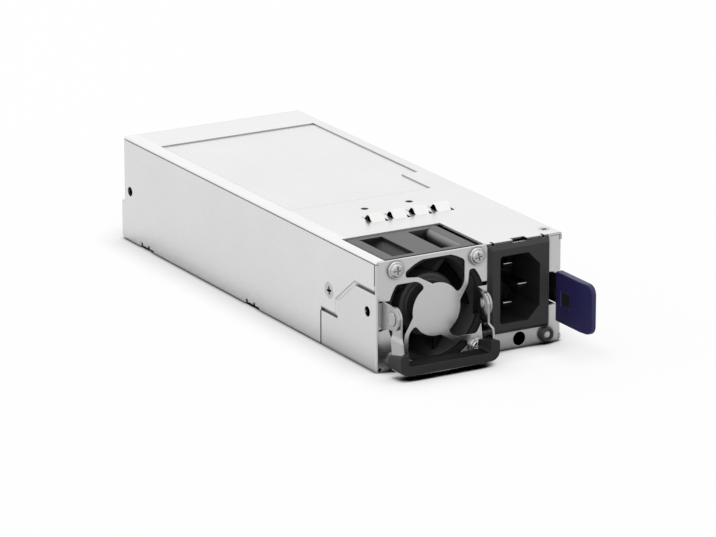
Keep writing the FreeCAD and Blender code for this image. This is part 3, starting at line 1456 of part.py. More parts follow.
def core_place():
    """Corner of the transformer core and the two heights of its window."""
    x0, y0 = on_board(CORE["x"], CORE["y"])
    low = BOARD_TOP + CORE["up"]
    return x0, y0, low + CORE["limb"], low + CORE["h"] - CORE["limb"]


def core_post(radius):
    x0, y0, low, high = core_place()
    return rod("Z", x0 + CORE["w"] / 2, y0 + CORE["l"] / 2, low, radius, high - low)


def transformer_core():
    """Ferrite core: outer frame open along the case, and a round middle post."""
    x0, y0, low, high = core_place()
    wide, long, limb = CORE["w"], CORE["l"], CORE["limb"]
    core = box(x0, y0, low - limb, x0 + wide, y0 + long, high + limb)
    window = box(x0 + limb, y0, low, x0 + wide - limb, y0 + long, high)
    return [fuse([core.cut(window), core_post(CORE["post"])])]


def transformer_winding():
    """Wound bobbin on the middle post, with a pin rail and a leg at each end."""
    x0, y0, low, high = core_place()
    side = CORE["limb"] + BOBBIN_SIDE
    bobbin = box(
        x0 + side, y0 + BOBBIN_END, low + BOBBIN_GAP,
        x0 + CORE["w"] - side, y0 + CORE["l"] - BOBBIN_END, high - BOBBIN_GAP)
    bobbin = round_edges(bobbin, BOBBIN_EDGE, "Z")
    leg_x = x0 + (CORE["w"] - LEG["w"]) / 2
    leg_top = low + BOBBIN_GAP + BOBBIN_FIT
    parts = [bobbin]
    far = y0 + CORE["l"] + LEG["out"]
    for leg_y, rail_y in ((y0 - LEG["out"], y0 - LEG["out"]), (far - LEG["t"], far - RAIL["l"])):
        parts.append(box(leg_x, leg_y, BOARD_TOP, leg_x + LEG["w"], leg_y + LEG["t"], leg_top))
        parts.append(box(
            leg_x, rail_y, leg_top, leg_x + LEG["w"], rail_y + RAIL["l"], leg_top + RAIL["h"]))
    return [fuse(parts).cut(core_post(CORE["post"] + BOBBIN_FIT))]


PLATE = {"gap": 0.5, "t": 3.0, "l": 62.0, "h": 26.0}
PLATE_RIBS = {"count": 5, "y": 27.0, "pitch": 6.0, "l": 2.0, "out": 1.5, "up": 18.0}
NECK_H = 4.8
NECK_BACK = 3.5
SCREW_HOLE_L = 5.0


def plate_side():
    """X of the primary heatsink plate's two faces."""
    x0 = LEFT + 2 * SHEET + PLATE["gap"]
    return x0, x0 + PLATE["t"]


def primary_heatsink():
    """Upright plate by the left wall; its neck takes the left side screw."""
    x0, x1 = plate_side()
    top = BOARD_TOP + PLATE["h"]
    parts = [box(x0, BOARD_FRONT, BOARD_TOP, x1, BOARD_FRONT + PLATE["l"], top)]
    for number in range(PLATE_RIBS["count"]):
        y = BOARD_FRONT + PLATE_RIBS["y"] + PLATE_RIBS["pitch"] * number
        parts.append(box(
            x1, y, BOARD_TOP + PLATE_RIBS["up"], x1 + PLATE_RIBS["out"], y + PLATE_RIBS["l"], top))
    neck = box(
        LEFT + SHEET, BOARD_FRONT, SIDE_SCREW_Z - NECK_H / 2,
        x0, LEFT_SCREW_Y + NECK_BACK, SIDE_SCREW_Z + NECK_H / 2)
    hole = rod("X", LEFT, LEFT_SCREW_Y, SIDE_SCREW_Z, SCREW_R + SCREW_FIT, SCREW_HOLE_L)
    return [fuse(parts + [neck]).cut(hole)]


TRANSISTOR = {"y": 24.0, "pitch": 11.0, "count": 3, "w": 4.4, "l": 10.0, "up": 3.0, "h": 14.5}
TRANSISTOR_LEG = {"x": 2.0, "w": 0.6, "l": 1.0, "pitch": 2.54}


def power_transistors():
    """Flat packages clamped on the heatsink plate, leads down to the board."""
    x0 = plate_side()[1]
    low = BOARD_TOP + TRANSISTOR["up"]
    parts = []
    for number in range(TRANSISTOR["count"]):
        y0 = BOARD_FRONT + TRANSISTOR["y"] + TRANSISTOR["pitch"] * number
        body = box(x0, y0, low, x0 + TRANSISTOR["w"], y0 + TRANSISTOR["l"], low + TRANSISTOR["h"])
        leg_x = x0 + TRANSISTOR_LEG["x"]
        leads = []
        for side in (-1, 0, 1):
            y = y0 + (TRANSISTOR["l"] - TRANSISTOR_LEG["l"]) / 2 + side * TRANSISTOR_LEG["pitch"]
            leads.append(box(
                leg_x, y, BOARD_TOP, leg_x + TRANSISTOR_LEG["w"], y + TRANSISTOR_LEG["l"], low))
        parts.append(fuse([body] + leads))
    return parts


SINK = {"left": 28.0, "right": 3.5, "l": 24.0, "up": 3.0, "base": 3.0, "h": 24.0}
FIN = {"t": 1.2, "gap": 3.0}
SINK_FOOT = {"w": 3.0, "in": 2.0, "l": 20.0}
BOSS_R = 3.2


def secondary_heatsink():
    """Finned block over the output stage; its boss takes the right side screw."""
    x0 = LEFT + SINK["left"]
    x1 = RIGHT - SHEET - SINK["right"]
    y0 = RIGHT_SCREW_Y - SINK["l"] / 2
    y1 = RIGHT_SCREW_Y + SINK["l"] / 2
    z0 = BOARD_TOP + SINK["up"]
    parts = [box(x0, y0, z0, x1, y1, z0 + SINK["base"])]
    gaps = int((x1 - x0 - FIN["t"]) // (FIN["t"] + FIN["gap"]))
    step = (x1 - x0 - FIN["t"]) / gaps
    for number in range(gaps + 1):
        x = x0 + step * number
        parts.append(box(x, y0, z0, x + FIN["t"], y1, z0 + SINK["h"]))
    foot_y = RIGHT_SCREW_Y - SINK_FOOT["l"] / 2
    for x in (x0 + SINK_FOOT["in"], x1 - SINK_FOOT["in"] - SINK_FOOT["w"]):
        parts.append(box(x, foot_y, BOARD_TOP, x + SINK_FOOT["w"], foot_y + SINK_FOOT["l"], z0))
    last_fin = x1 - FIN["t"]
    boss = rod("X", last_fin, RIGHT_SCREW_Y, SIDE_SCREW_Z, BOSS_R, RIGHT - SHEET - last_fin)
    hole = rod(
        "X", RIGHT - SCREW_HOLE_L, RIGHT_SCREW_Y, SIDE_SCREW_Z, SCREW_R + SCREW_FIT, SCREW_HOLE_L)
    return [fuse(parts + [boss]).cut(hole)]


CAN = {"x": 12.0, "rear": 25.0, "r": 4.0, "h": 14.0, "columns": 6, "rows": 2, "across": 9.9, "along": 9.6}


def output_capacitors():
    """Two rows of upright cans in front of the card edge."""
    cans = []
    for row in range(CAN["rows"]):
        for column in range(CAN["columns"]):
            x = LEFT + CAN["x"] + CAN["across"] * column
            y = REAR - CAN["rear"] + CAN["along"] * row
            cans.append(rod("Z", x, y, BOARD_TOP, CAN["r"], CAN["h"]))
    return cans


CONTROL = {"gap": 2.0, "t": 1.2, "front": 4.0, "rear": 16.0, "up": 2.5, "h": 21.5}
HEADER = {"t": 2.6, "front": 10.0, "l": 25.0}


def latch_end():
    """Y where the latch's bracket ends."""
    return LATCH_Y + EYE_R + BRACKET_L


def control_board():
    """Upright board on edge by the right wall, behind the latch."""
    x1 = RIGHT - SHEET - CONTROL["gap"]
    low = BOARD_TOP + CONTROL["up"]
    return [box(
        x1 - CONTROL["t"], latch_end() + CONTROL["front"], low,
        x1, RIGHT_SCREW_Y - CONTROL["rear"], low + CONTROL["h"])]


def control_header():
    """Socket on the main board that the upright board stands in."""
    x0 = RIGHT - SHEET - CONTROL["gap"] - (CONTROL["t"] + HEADER["t"]) / 2
    y0 = latch_end() + HEADER["front"]
    return [box(x0, y0, BOARD_TOP, x0 + HEADER["t"], y0 + HEADER["l"], BOARD_TOP + CONTROL["up"])]


PIECES = {
    "chassis": chassis,
    "top_cover": top_cover,
    "front_panel": front_panel,
    "rear_panel": rear_panel,
    "fan_frame": fan_frame,
    "fan_rotor": fan_rotor,
    "fan_magnet": fan_magnet,
    "fan_shaft": fan_shaft,
    "fan_bearings": fan_bearings,
    "fan_stator": fan_stator,
    "fan_gasket": fan_gasket,
    "fan_lead": fan_lead,
    "fan_plug": fan_plug,
    "fan_screws": fan_screws,
    "side_screws": side_screws,
    "cover_screw": cover_screw,
    "handle_bail": handle_bail,
    "handle_grip": handle_grip,
    "handle_rivets": handle_rivets,
    "inlet_housing": inlet_housing,
    "inlet_pins": inlet_pins,
    "status_bezel": status_bezel,
    "status_lens": status_lens,
    "latch_lever": latch_lever,
    "latch_tab": latch_tab,
    "latch_pin": latch_pin,
    "latch_bracket": latch_bracket,
    "latch_spring": latch_spring,
    "spring_fingers": spring_fingers,
    "main_board": main_board,
    "edge_contacts": edge_contacts,
    "board_standoffs": board_standoffs,
    "insulator_sheet": insulator_sheet,
    "filter_choke_core": filter_choke_core,
    "filter_choke_windings": filter_choke_windings,
    "boost_choke_core": boost_choke_core,
    "boost_choke_winding": boost_choke_winding,
    "filter_capacitor": filter_capacitor,
    "relay": relay,
    "fuse_link": fuse_link,
    "bulk_capacitor": bulk_capacitor,
    "transformer_core": transformer_core,
    "transformer_winding": transformer_winding,
    "resonant_choke": resonant_choke,
    "primary_heatsink": primary_heatsink,
    "power_transistors": power_transistors,
    "secondary_heatsink": secondary_heatsink,
    "output_capacitors": output_capacitors,
    "control_board": control_board,
    "control_header": control_header,
}

os.makedirs("parts", exist_ok=True)
for name, make in PIECES.items():
    solids = [solid for shape in make() for solid in shape.Solids]
    Part.makeCompound(solids).exportStep("parts/" + name + ".step")
    volume = sum(solid.Volume for solid in solids)
    print(f"{name:24s} {len(solids):3d} solids {volume:10.1f} mm3")
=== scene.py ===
import bmesh
import bpy
import math
from mathutils import Matrix, Vector


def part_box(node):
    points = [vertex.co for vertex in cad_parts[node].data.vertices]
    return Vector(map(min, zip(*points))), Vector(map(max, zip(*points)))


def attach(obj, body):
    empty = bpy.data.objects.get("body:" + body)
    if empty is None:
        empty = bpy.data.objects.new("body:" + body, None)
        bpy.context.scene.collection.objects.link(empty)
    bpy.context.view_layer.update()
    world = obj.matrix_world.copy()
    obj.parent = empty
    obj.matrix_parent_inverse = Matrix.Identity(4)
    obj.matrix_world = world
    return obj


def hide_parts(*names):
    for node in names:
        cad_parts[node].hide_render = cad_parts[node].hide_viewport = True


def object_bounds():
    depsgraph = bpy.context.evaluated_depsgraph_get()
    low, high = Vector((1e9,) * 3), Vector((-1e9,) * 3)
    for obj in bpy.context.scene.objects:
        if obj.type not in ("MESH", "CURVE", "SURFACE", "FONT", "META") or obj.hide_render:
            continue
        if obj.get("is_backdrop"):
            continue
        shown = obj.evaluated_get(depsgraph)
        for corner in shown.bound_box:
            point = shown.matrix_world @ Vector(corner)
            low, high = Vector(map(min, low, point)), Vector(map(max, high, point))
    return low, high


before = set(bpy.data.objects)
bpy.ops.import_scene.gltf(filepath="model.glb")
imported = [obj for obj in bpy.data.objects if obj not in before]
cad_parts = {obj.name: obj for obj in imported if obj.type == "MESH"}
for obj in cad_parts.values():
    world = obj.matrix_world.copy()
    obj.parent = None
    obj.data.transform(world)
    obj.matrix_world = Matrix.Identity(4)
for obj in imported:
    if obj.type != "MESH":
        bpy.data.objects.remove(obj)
cad_low, cad_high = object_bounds()
MM = 0.001
TINY = 1e-6

# ---------------------------------------------------------------- studio
# A wide pale table that runs out of sight, in a white room with two soft
# lamps, and a camera that looks down on the module's front left corner.
# Nothing here belongs to the module.

scene = bpy.context.scene
scene.view_settings.view_transform = "Standard"

CAMERA_AT = (-840.72, -1467.81, 526.71)
SIGHT = (0.47923, 0.82708, -0.29375)
lens = bpy.data.cameras.new("camera")
lens.sensor_width = 36.0
lens.lens = 249.8
lens.clip_end = 50.0
camera = bpy.data.objects.new("camera", lens)
scene.collection.objects.link(camera)
camera.location = Vector(CAMERA_AT) * MM
camera.rotation_mode = "QUATERNION"
camera.rotation_quaternion = Vector(SIGHT).to_track_quat("-Z", "Y")
scene.camera = camera


def new_finish(name):
    """A material with only its shader, and the shader's node."""
    material = bpy.data.materials.new(name)
    material.use_nodes = True
    return material, material.node_tree.nodes["Principled BSDF"]


def add_node(material, kind, **settings):
    """A node of that kind. Settings with a capital are sockets, the others are options."""
    node = material.node_tree.nodes.new("ShaderNode" + kind)
    for key, value in settings.items():
        if key[0].isupper():
            node.inputs[key.replace("_", " ")].default_value = value
        else:
            setattr(node, key, value)
    return node


def join(material, start, end):
    material.node_tree.links.new(start, end)


def combined(material, operation, first, second):
    """Two values put through one operation."""
    node = add_node(material, "Math", operation=operation)
    join(material, first, node.inputs[0])
    join(material, second, node.inputs[1])
    return node.outputs["Value"]


def scaled(material, colour, factor):
    """The colour times a factor."""
    product = add_node(material, "VectorMath", operation="SCALE")
    join(material, colour, product.inputs[0])
    join(material, factor, product.inputs["Scale"])
    return product.outputs["Vector"]


FLOOR_HALF = 14.0       # metres
FLOOR_GAP = 0.02
table = bmesh.new()
bmesh.ops.create_grid(table, x_segments=1, y_segments=1, size=FLOOR_HALF)
bmesh.ops.translate(table, vec=(0, 0, -FLOOR_GAP * MM), verts=table.verts)
table_mesh = bpy.data.meshes.new("floor")
table.to_mesh(table_mesh)
floor = bpy.data.objects.new("floor", table_mesh)
scene.collection.objects.link(floor)
floor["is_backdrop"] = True

# Seen directly the paper is white. In the metal's reflections it is greyer,
# most of all in front of the module: painted shade in what the metal mirrors.
PAPER_FRONT, PAPER_BACK = 0.66, 0.86
FRONT_Y, BACK_Y = -0.125, -0.075
floor_paper, shader = new_finish("floor_paper")
shader.inputs["Roughness"].default_value = 0.9
shader.inputs["Specular IOR Level"].default_value = 0.1
where = add_node(floor_paper, "TexCoord")
split = add_node(floor_paper, "SeparateXYZ")
join(floor_paper, where.outputs["Object"], split.inputs["Vector"])
mirrored_shade = add_node(floor_paper, "MapRange", interpolation_type="SMOOTHSTEP", From_Min=FRONT_Y,
                  From_Max=BACK_Y, To_Min=PAPER_FRONT, To_Max=PAPER_BACK)
join(floor_paper, split.outputs["Y"], mirrored_shade.inputs["Value"])
bounce = add_node(floor_paper, "CombineXYZ")
for axis in "XYZ":
    join(floor_paper, mirrored_shade.outputs["Result"], bounce.inputs[axis])
seen = add_node(floor_paper, "LightPath")
paper = add_node(floor_paper, "Mix", data_type="RGBA")
paper.inputs["B"].default_value = (1.0, 1.0, 1.0, 1)
join(floor_paper, bounce.outputs["Vector"], paper.inputs["A"])
join(floor_paper, seen.outputs["Is Camera Ray"], paper.inputs["Factor"])

# The shadow: a soft one near the module, a dark one beneath it, and a thin
# line where it touches.
SHADOW_REACH = 0.014    # metres
TOUCH_REACH = 0.0016
BENEATH_DARK, BENEATH_CLEAR = 0.37, 0.53
SHADOW_REFLECTED, SHADOW_SEEN = 0.95, 0.5
near = add_node(floor_paper, "AmbientOcclusion", samples=16, Distance=SHADOW_REACH)
touch = add_node(floor_paper, "AmbientOcclusion", samples=8, Distance=TOUCH_REACH)
shadow_power = add_node(floor_paper, "MapRange", To_Min=SHADOW_REFLECTED, To_Max=SHADOW_SEEN)
join(floor_paper, seen.outputs["Is Camera Ray"], shadow_power.inputs["Value"])
soft_shadow = combined(floor_paper, "POWER", near.outputs["AO"], shadow_power.outputs["Result"])
beneath = add_node(floor_paper, "MapRange", interpolation_type="SMOOTHSTEP",
                   From_Min=BENEATH_DARK, From_Max=BENEATH_CLEAR)
join(floor_paper, near.outputs["AO"], beneath.inputs["Value"])
contact = combined(floor_paper, "MULTIPLY", beneath.outputs["Result"], touch.outputs["AO"])
shadow = combined(floor_paper, "MULTIPLY", soft_shadow, contact)
join(floor_paper, scaled(floor_paper, paper.outputs["Result"], shadow), shader.inputs["Base Color"])

# The paper is partly lit by itself, so the lamps leave no patches on it.
OWN_LIGHT = 0.88
glow = add_node(floor_paper, "Emission", Color=(1, 1, 1, 1))
join(floor_paper, shadow, glow.inputs["Strength"])
share = add_node(floor_paper, "Math", operation="MULTIPLY")
share.inputs[1].default_value = OWN_LIGHT
join(floor_paper, seen.outputs["Is Camera Ray"], share.inputs[0])
lift = add_node(floor_paper, "MixShader")
join(floor_paper, share.outputs["Value"], lift.inputs["Fac"])
join(floor_paper, shader.outputs["BSDF"], lift.inputs[1])
join(floor_paper, glow.outputs["Emission"], lift.inputs[2])
surface = floor_paper.node_tree.nodes["Material Output"].inputs["Surface"]
join(floor_paper, lift.outputs["Shader"], surface)
floor.data.materials.append(floor_paper)

# The room is white where it is seen, mirrored or looked through, and lights
# matt surfaces a little less.
ROOM_LIGHT = 0.78
room = bpy.data.worlds.new("room")
scene.world = room
room.use_nodes = True
walls = room.node_tree.nodes["Background"]
walls.inputs["Color"].default_value = (1, 1, 1, 1)
ray = add_node(room, "LightPath")
direct = combined(room, "MAXIMUM", ray.outputs["Is Camera Ray"], ray.outputs["Is Glossy Ray"])
either = combined(room, "MAXIMUM", direct, ray.outputs["Is Transmission Ray"])
strength = add_node(room, "MapRange", To_Min=ROOM_LIGHT, To_Max=1.0)
join(room, either, strength.inputs["Value"])
join(room, strength.outputs["Result"], walls.inputs["Strength"])

LAMPS = {               # place and target in metres, diameter, watts
    "lamp_over": ((-0.2, 0.4, 1.5), (0, 0, 0), 1.6, 4.0),
    "lamp_left": ((-1.6, 1.0, 0.8), (0, 0.05, 0), 1.2, 4.5),
}
for name, (place, target, size, watts) in LAMPS.items():
    lamp = bpy.data.lights.new(name, "AREA")
    lamp.shape = "DISK"
    lamp.size = size
    lamp.energy = watts
    holder = bpy.data.objects.new(name, lamp)
    holder.location = place
    aim = Vector(target) - Vector(place)
    holder.rotation_euler = aim.to_track_quat("-Z", "Y").to_euler()
    scene.collection.objects.link(holder)


# ----------------------------------------------------------- case sheets
# The folded pan, the lid and the rear wall: plated steel sheet, bright and
# satin, with a faint cloudy grain from rolling and softened cut edges. Faces
# that look into the case are painted near black as painted shade, and gaps,
# seams, edges and hollows carry painted shade; the lid's left and rear
# borders carry a painted highlight.

BOX_EDGE = 0.00005      # metres
LINE_TURN, FLAT_TURN = 0.975, 0.9995    # cosines of the softened normal's turn
# Faces looking into the case are painted near black: painted shade for the dark inside.
INSIDE_SHADE_REACH = {"X": -34.0, "Y": -88.0, "Z": -15.0}
INSIDE_SHADE_TONE = (0.012, 0.012, 0.012, 1)


def finish_node(node, material):
    """Puts a material on every slot of a CAD node."""
    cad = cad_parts[node]
    if not cad.material_slots:
        cad.data.materials.append(material)
    for place in cad.material_slots:
        place.material = material


def cloudy_tone(material, place, scale, tone, dim, bright, **settings):
    """The tone in soft clouds between two levels."""
    cloud = add_node(material, "TexNoise", Scale=scale, **settings)
    join(material, place.outputs["Object"], cloud.inputs["Vector"])
    tint = add_node(material, "ValToRGB")
    dark, light = tint.color_ramp.elements
    dark.position, light.position = 0.3, 0.7
    dark.color = [channel * dim for channel in tone] + [1]
    light.color = [channel * bright for channel in tone] + [1]
    join(material, cloud.outputs["Fac"], tint.inputs["Fac"])
    return tint.outputs["Color"]


def fine_surface(material, shader, place, scale, rough, spread, edge, strength, depth, **settings):
    """Uneven gloss, fine grit and edges softened in the shading."""
    fine = add_node(material, "TexNoise", Scale=scale, **settings)
    join(material, place.outputs["Object"], fine.inputs["Vector"])
    gloss = add_node(material, "MapRange", To_Min=rough - spread, To_Max=rough + spread)
    join(material, fine.outputs["Fac"], gloss.inputs["Value"])
    join(material, gloss.outputs["Result"], shader.inputs["Roughness"])
    soft = add_node(material, "Bevel", samples=4, Radius=edge)
    grit = add_node(material, "Bump", Strength=strength, Distance=depth)
    join(material, fine.outputs["Fac"], grit.inputs["Height"])
    join(material, soft.outputs["Normal"], grit.inputs["Normal"])
    join(material, grit.outputs["Normal"], shader.inputs["Normal"])


def plated_sheet(name, tone, rough, grain=260.0, edge=0.00018, shaded_inside=False, seam=0.0, hollow=0.0):
    """Plated steel: cloudy tone, fine uneven gloss and edges softened in the shading.

    Its faces inside the case can be painted near black as painted shade. Seam is the width of
    the painted shade line along sharp edges, hollow the reach of the painted shade in corners and
    holes.
    """
    material, shader = new_finish(name)
    shader.inputs["Metallic"].default_value = 1.0
    place = add_node(material, "TexCoord")
    colour = cloudy_tone(material, place, grain / 9, tone, dim=0.965, bright=1.0,
                         Detail=3.0, Roughness=0.55)
    if shaded_inside:
        colour = paint_inside_shade(material, place, colour)
    if seam:
        colour = scaled(material, colour, edge_line(material, seam))
    if hollow:
        colour = dark_hollows(material, colour, hollow)
    join(material, colour, shader.inputs["Base Color"])
    fine_surface(material, shader, place, grain * 9, rough, spread=0.04, edge=edge,
                 strength=0.06, depth=0.00004, Detail=4.0, Roughness=0.6)
    return material


def edge_line(material, width, depth=0.4):
    """A factor that falls to the depth along sharp edges, where the softened normal turns, for
    painted shade lines.
    """
    own = add_node(material, "NewGeometry")
    soft = add_node(material, "Bevel", samples=6, Radius=width)
    along = add_node(material, "VectorMath", operation="DOT_PRODUCT")
    join(material, own.outputs["Normal"], along.inputs[0])
    join(material, soft.outputs["Normal"], along.inputs[1])
    line = add_node(material, "MapRange", From_Min=LINE_TURN, From_Max=FLAT_TURN,
                    To_Min=depth, To_Max=1.0)
    join(material, along.outputs["Value"], line.inputs["Value"])
    return line.outputs["Result"]


def dark_hollows(material, colour, reach, start=0.1, end=0.8, depth=0.05, alone=True):
    """Paints shade into corners, slots and holes narrower than the reach.

    Alone, a piece is shaded by its own form, otherwise by all it meets.
    """
    open_sky = add_node(material, "AmbientOcclusion", samples=6, only_local=alone, Distance=reach)
    hollow_shade = add_node(material, "MapRange", From_Min=start, From_Max=end, To_Min=depth, To_Max=1.0)
    join(material, open_sky.outputs["AO"], hollow_shade.inputs["Value"])
    return scaled(material, colour, hollow_shade.outputs["Result"])


def vector_step(material, operation, start, by=None):
    """A vector put through one operation, with a fixed second vector where it needs one."""
    step = add_node(material, "VectorMath", operation=operation)
    join(material, start, step.inputs[0])
    if by is not None:
        step.inputs[1].default_value = by
    return step.outputs["Vector"]


def largest_part(material, vector):
    """The largest of a vector's three parts."""
    parts = add_node(material, "SeparateXYZ")
    join(material, vector, parts.inputs["Vector"])
    level = combined(material, "MAXIMUM", parts.outputs["X"], parts.outputs["Y"])
    return combined(material, "MAXIMUM", level, parts.outputs["Z"])


def tone_boxes(material, front, boxes):
    """Scales a finish's colour inside boxes of millimetres, whose Y counts from a front.

    Each box has a low and a high corner and a factor, which is a number or a socket.
    """
    end = material.node_tree.nodes["Principled BSDF"].inputs["Base Color"]
    for low, high, factor in boxes.values():
        low = Vector(low) * MM + Vector((0, front, 0))
        high = Vector(high) * MM + Vector((0, front, 0))
        here = add_node(material, "TexCoord")
        off = vector_step(material, "SUBTRACT", here.outputs["Object"], (low + high) / 2)
        size = vector_step(material, "ABSOLUTE", off)
        past = vector_step(material, "SUBTRACT", size, (high - low) / 2)
        inside = add_node(material, "MapRange", From_Min=-BOX_EDGE, From_Max=BOX_EDGE, To_Max=1.0)
        join(material, largest_part(material, past), inside.inputs["Value"])
        if isinstance(factor, float):
            inside.inputs["To Min"].default_value = factor
        else:
            join(material, factor, inside.inputs["To Min"])
        join(material, scaled(material, end.links[0].from_socket, inside.outputs["Result"]), end)


def paint_inside_shade(material, place, colour):
    """Paints shade on the faces that look inwards, found by place times normal on each axis."""
    middle = (cad_low + cad_high) * Vector((0, 0, 0.5))
    off = vector_step(material, "SUBTRACT", place.outputs["Object"], middle)
    outward = add_node(material, "VectorMath", operation="MULTIPLY")
    join(material, off, outward.inputs[0])
    join(material, place.outputs["Normal"], outward.inputs[1])
    parts = add_node(material, "SeparateXYZ")
    join(material, outward.outputs["Vector"], parts.inputs["Vector"])
    inside = []
    for axis, reach in INSIDE_SHADE_REACH.items():
        faces_in = add_node(material, "Math", operation="LESS_THAN")
        faces_in.inputs[1].default_value = reach * MM
        join(material, parts.outputs[axis], faces_in.inputs[0])
        inside.append(faces_in.outputs["Value"])
    two = combined(material, "MAXIMUM", inside[0], inside[1])
    # Painted shade: the inward faces are mixed towards near black.
    film = add_node(material, "Mix", data_type="RGBA")
    film.inputs["B"].default_value = INSIDE_SHADE_TONE
    join(material, combined(material, "MAXIMUM", two, inside[2]), film.inputs["Factor"])
    join(material, colour, film.inputs["A"])
    return film.outputs["Result"]


SIDE = 36.4             # just within the walls' outer faces
PAST = 40.0             # past the case on every side
REAR = 200.0            # past its rear
WALL_BACK = 0.95        # the upper walls start behind the pan's front edge
WALL_TOP = 38.1
GAP_LONG = 0.55
GAP_LOW = 30.5
SEAM_BACK = 37.45       # the seam in the left wall's lower half
SEAM_TOP = 12.3
LID_LOW = 38.7
FIELD_LEFT = -31.2      # the lid's bare field ends here
FIELD_BACK = 164.4
# The seam line along sharp edges and the darkening in hollows are painted shade.
case_steel = plated_sheet("case_steel", (0.84, 0.84, 0.845), 0.28, shaded_inside=True, seam=0.0003,
                          hollow=0.0018)
# Painted shade lines at the left wall's relief.
relief_shade_line = edge_line(case_steel, 0.0007, depth=0.42)
# Boxes of painted light: painted shade in the wall gaps, the seam, the relief, behind the flange's
# hole and on the lip over the inlet; a painted highlight on the lid's left and rear borders.
tone_boxes(case_steel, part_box("chassis")[0].y, {
    "painted shade in the left gap": ((-PAST, -WALL_BACK, GAP_LOW), (-SIDE, WALL_BACK + GAP_LONG, WALL_TOP), 0.22),
    "painted shade in the right gap": ((SIDE, -WALL_BACK, GAP_LOW), (PAST, WALL_BACK + GAP_LONG, WALL_TOP), 0.22),
    "seam": ((-PAST, SEAM_BACK - 0.1, 0.2), (-SIDE, SEAM_BACK + 0.65, SEAM_TOP), 0.08),
    "painted shade lines at the wall's relief": ((-PAST, 12.5, 18.8), (-35.5, 27.5, 30), relief_shade_line),
    "painted shade behind the flange's hole": ((-36.5, 3.5, 17.5), (-33, 9, 23.5), 0.02),
    "painted shade on the lip over the inlet": ((6.5, -0.5, 37), (31.5, 3.0, 38.9), 0.2),
    "painted highlight on the lid's left border": ((-PAST, -0.5, LID_LOW), (FIELD_LEFT, REAR, PAST), 1.1),
    "painted highlight on the lid's rear border": ((FIELD_LEFT, FIELD_BACK, LID_LOW), (PAST, REAR, PAST), 1.04),
})
for node in ("chassis", "top_cover", "rear_panel"):
    finish_node(node, case_steel)


# ----------------------------------------------------------- front panel
# One pressed sheet: the swept finger guard, the two ears and the flanges
# that fold round the sides. The ears, standing out in front, are painted
# darker as painted shade, and the panel's hollows carry painted shade.

HEAD_HIGH = 1.9         # the fan screws' heads stand this far off the panel
EAR_SHADE_FROM, EAR_SHADE_TO = 1.2, 0.2
EAR_SHADE_TONE = 0.58
panel_steel = plated_sheet("panel_steel", (0.80, 0.80, 0.805), 0.25, shaded_inside=True)
panel_nodes = panel_steel.node_tree.nodes
forward = add_node(panel_steel, "SeparateXYZ")
join(panel_steel, panel_nodes["Texture Coordinate"].outputs["Object"], forward.inputs["Vector"])
face_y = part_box("fan_screws")[0].y + HEAD_HIGH * MM
# Painted shade: parts standing out in front of the panel's face, the ears, are darkened.
ear_shade = add_node(panel_steel, "MapRange", interpolation_type="SMOOTHSTEP",
                  From_Min=face_y - EAR_SHADE_FROM * MM, From_Max=face_y - EAR_SHADE_TO * MM,
                  To_Min=EAR_SHADE_TONE, To_Max=1.0)
join(panel_steel, forward.outputs["Y"], ear_shade.inputs["Value"])
panel_colour = panel_nodes["Principled BSDF"].inputs["Base Color"]
# Painted shade round the screws, flange, bezel and other parts that meet the panel.
panel_shade = dark_hollows(panel_steel, panel_colour.links[0].from_socket, 0.0016,
                     start=0.3, end=0.92, depth=0.1, alone=False)
join(panel_steel, scaled(panel_steel, panel_shade, ear_shade.outputs["Result"]), panel_colour)
finish_node("front_panel", panel_steel)


# ------------------------------------------------------------ fan housing
# Square moulded housing, dark grey with the fine spark texture of the
# mould, and black foam between it and the panel. Its bore, its hollows,
# its left pocket and upper left edge carry painted shade, its right pocket
# painted light, and its lead runs to an ivory plug.

def moulded(name, tone, rough, grain=1800.0, relief=0.2, edge=0.0002, specular=0.5, hollow=0.0):
    """Moulded plastic: slightly uneven tone, spark texture, rounded edges in the shading."""
    material, shader = new_finish(name)
    shader.inputs["Specular IOR Level"].default_value = specular
    place = add_node(material, "TexCoord")
    colour = cloudy_tone(material, place, grain / 40, tone, dim=0.88, bright=1.06, Detail=2.0)
    if hollow:
        colour = dark_hollows(material, colour, hollow, start=0.5, end=0.86, depth=0.0)
    join(material, colour, shader.inputs["Base Color"])
    fine_surface(material, shader, place, grain, rough, spread=0.06, edge=edge,
                 strength=relief, depth=0.00005, Detail=3.0, Roughness=0.6)
    return material


BORE_R = 17.6
BORE_SHADE_TONE = 0.07
HOUSING_TOP = 38.3
HOUSING_BACK = 40.0
fan_grey = moulded("fan_grey", (0.142, 0.142, 0.144), 0.6, edge=0.0004, hollow=0.012)
fan_nodes = fan_grey.node_tree.nodes
fan_colour = fan_nodes["Principled BSDF"].inputs["Base Color"]
fan_low, fan_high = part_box("fan_frame")
from_axis = vector_step(fan_grey, "SUBTRACT", fan_nodes["Texture Coordinate"].outputs["Object"],
                        (fan_low + fan_high) / 2)
radius = add_node(fan_grey, "VectorMath", operation="LENGTH")
join(fan_grey, vector_step(fan_grey, "MULTIPLY", from_axis, (1, 0, 1)), radius.inputs[0])
# Painted shade: the inside of the bore is darkened by its radius from the axis.
bore = add_node(fan_grey, "MapRange", From_Min=(BORE_R - 0.2) * MM, From_Max=BORE_R * MM,
                To_Min=BORE_SHADE_TONE, To_Max=1.0)
join(fan_grey, radius.outputs["Value"], bore.inputs["Value"])
shaded = scaled(fan_grey, fan_colour.links[0].from_socket, bore.outputs["Result"])
join(fan_grey, shaded, fan_colour)
